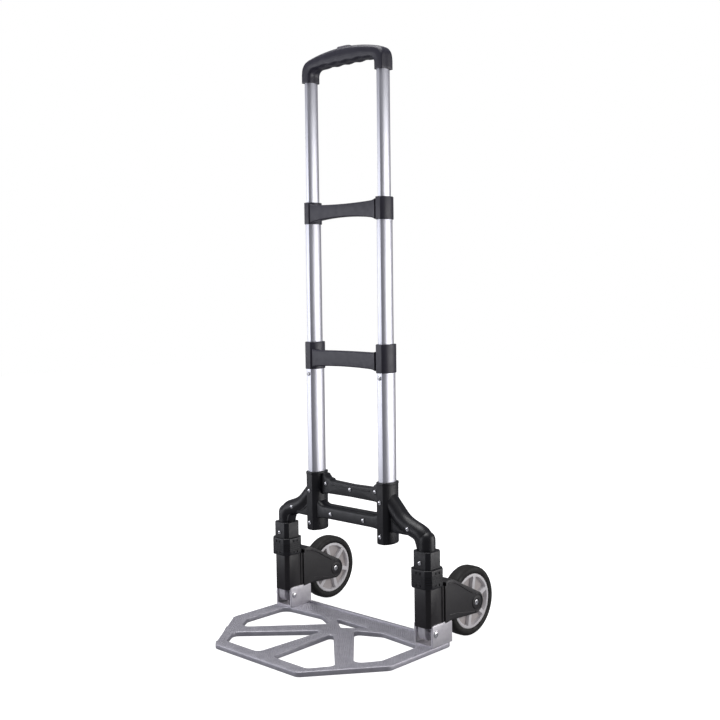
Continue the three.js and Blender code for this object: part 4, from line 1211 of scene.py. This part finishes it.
def screws():
    model = screw_mesh()
    bodies = frame["record"]["behaviour"]["bodies"]
    home = {node: body for body, members in bodies.items() for node in members}
    for i, node in enumerate(SCREW_NODES):
        lo, hi = box(node)
        rear = node.startswith("handle")
        x, _, z = middle(node)
        y = hi[1] - HEAD_HEIGHT if rear else lo[1] + HEAD_HEIGHT
        spin = Matrix.Rotation(math.radians(17 + 37 * i), 4, "Y")
        face = Matrix.Rotation(math.pi if rear else 0, 4, "Z")
        part = copy_of(model)
        part.data.transform(Matrix.Translation((x, y, z)) @ face @ spin)
        piece(part, node, home[node], STEEL, 30)
    bpy.data.objects.remove(model)


# ---- CAD nodes that stay ---------------------------------
KEPT = {"steel": STEEL, "nylon": NYLON}


def kept_nodes():
    slots = {entry["node"]: entry["material_slot"] for entry in frame["record"]["subparts"]}
    for name, obj in frame["nodes"].items():
        if not obj.hide_render:
            obj.data.materials.clear()
            obj.data.materials.append(KEPT[slots[name]])


# ---- Stage, light and camera -----------------------------
FLOOR_HALF = 6.0
FLOOR_Z = -0.0005


def floor():
    mesh = bpy.data.meshes.new("floor")
    corners = [(x, y, FLOOR_Z) for x, y in rect(-FLOOR_HALF, -FLOOR_HALF, FLOOR_HALF, FLOOR_HALF)]
    mesh.from_pydata(corners, [], [(0, 1, 2, 3)])
    obj = bpy.data.objects.new("floor", mesh)
    bpy.context.scene.collection.objects.link(obj)
    n = Nodes("floor_paint")
    n.set(specular_ior_level=0.0, emission_strength=0.97, roughness=0.9, emission_color=(1, 1, 1, 1))
    n.plug("Base Color", n.between(n.noise(3, 2), (0.48, 0.48, 0.48), (0.5, 0.5, 0.5)))
    mesh.materials.append(n.material)
    obj.visible_diffuse = False
    obj.visible_glossy = False


def lamp(name, position, aim_z, size, power, tint=(1, 1, 1)):
    data = bpy.data.lights.new(name, "AREA")
    data.shape = "RECTANGLE"
    data.size, data.size_y = size
    data.energy = power
    data.color = tint
    obj = bpy.data.objects.new(name, data)
    bpy.context.scene.collection.objects.link(obj)
    obj.location = position
    aim = Vector((0, 0, aim_z)) - Vector(position)
    obj.rotation_euler = aim.to_track_quat("-Z", "Y").to_euler()


def lights():
    world = bpy.data.worlds.new("studio")
    bpy.context.scene.world = world
    world.use_nodes = True
    tree = world.node_tree
    background = tree.nodes["Background"]
    background.inputs["Color"].default_value = (0.2, 0.2, 0.215, 1)
    seen = tree.nodes.new("ShaderNodeBackground")
    seen.inputs["Color"].default_value = (1, 1, 1, 1)
    seen.inputs["Strength"].default_value = 1.0
    path = tree.nodes.new("ShaderNodeLightPath")
    mix = tree.nodes.new("ShaderNodeMixShader")
    tree.links.new(path.outputs["Is Camera Ray"], mix.inputs["Fac"])
    tree.links.new(background.outputs["Background"], mix.inputs[1])
    tree.links.new(seen.outputs["Background"], mix.inputs[2])
    tree.links.new(mix.outputs["Shader"], tree.nodes["World Output"].inputs["Surface"])
    lamp("front_left", (-1.6, -1.6, 0.55), 0.55, (1.7, 1.5), 18, (0.93, 0.94, 1.0))
    lamp("right_back", (1.9, 1.3, 0.5), 0.5, (1.8, 1.6), 29, (1.0, 0.985, 0.985))
    lamp("overhead", (-0.2, -0.2, 2.7), 0, (1.8, 1.8), 52)


CAMERA_POSITION = (1.35106, -1.36570, 0.63820)
CAMERA_YAW = 0.7580253
CAMERA_PITCH = -0.0691647
CAMERA_ROLL = -0.0125178
CAMERA_LENS = 52.923


def camera():
    data = bpy.data.cameras.new("camera")
    data.sensor_width = 36
    data.lens = CAMERA_LENS
    data.clip_start = 0.01
    obj = bpy.data.objects.new("camera", data)
    bpy.context.scene.collection.objects.link(obj)
    yaw, pitch, roll = CAMERA_YAW, CAMERA_PITCH, CAMERA_ROLL
    ahead = Vector((-math.sin(yaw) * math.cos(pitch), math.cos(yaw) * math.cos(pitch), math.sin(pitch)))
    right = Vector((math.cos(yaw), math.sin(yaw), 0))
    up = right.cross(ahead)
    x_axis = right * math.cos(roll) + up * math.sin(roll)
    y_axis = -right * math.sin(roll) + up * math.cos(roll)
    turn = Matrix((x_axis, y_axis, -ahead)).transposed().to_4x4()
    obj.matrix_world = Matrix.Translation(CAMERA_POSITION) @ turn
    bpy.context.scene.camera = obj


bpy.context.scene.view_settings.view_transform = "Standard"
camera()
lights()
floor()
tubes()
handle()
button()
braces()
base_frame()
legs()
forks_and_wheels()
toe_plate()
hinges()
screws()
kept_nodes()
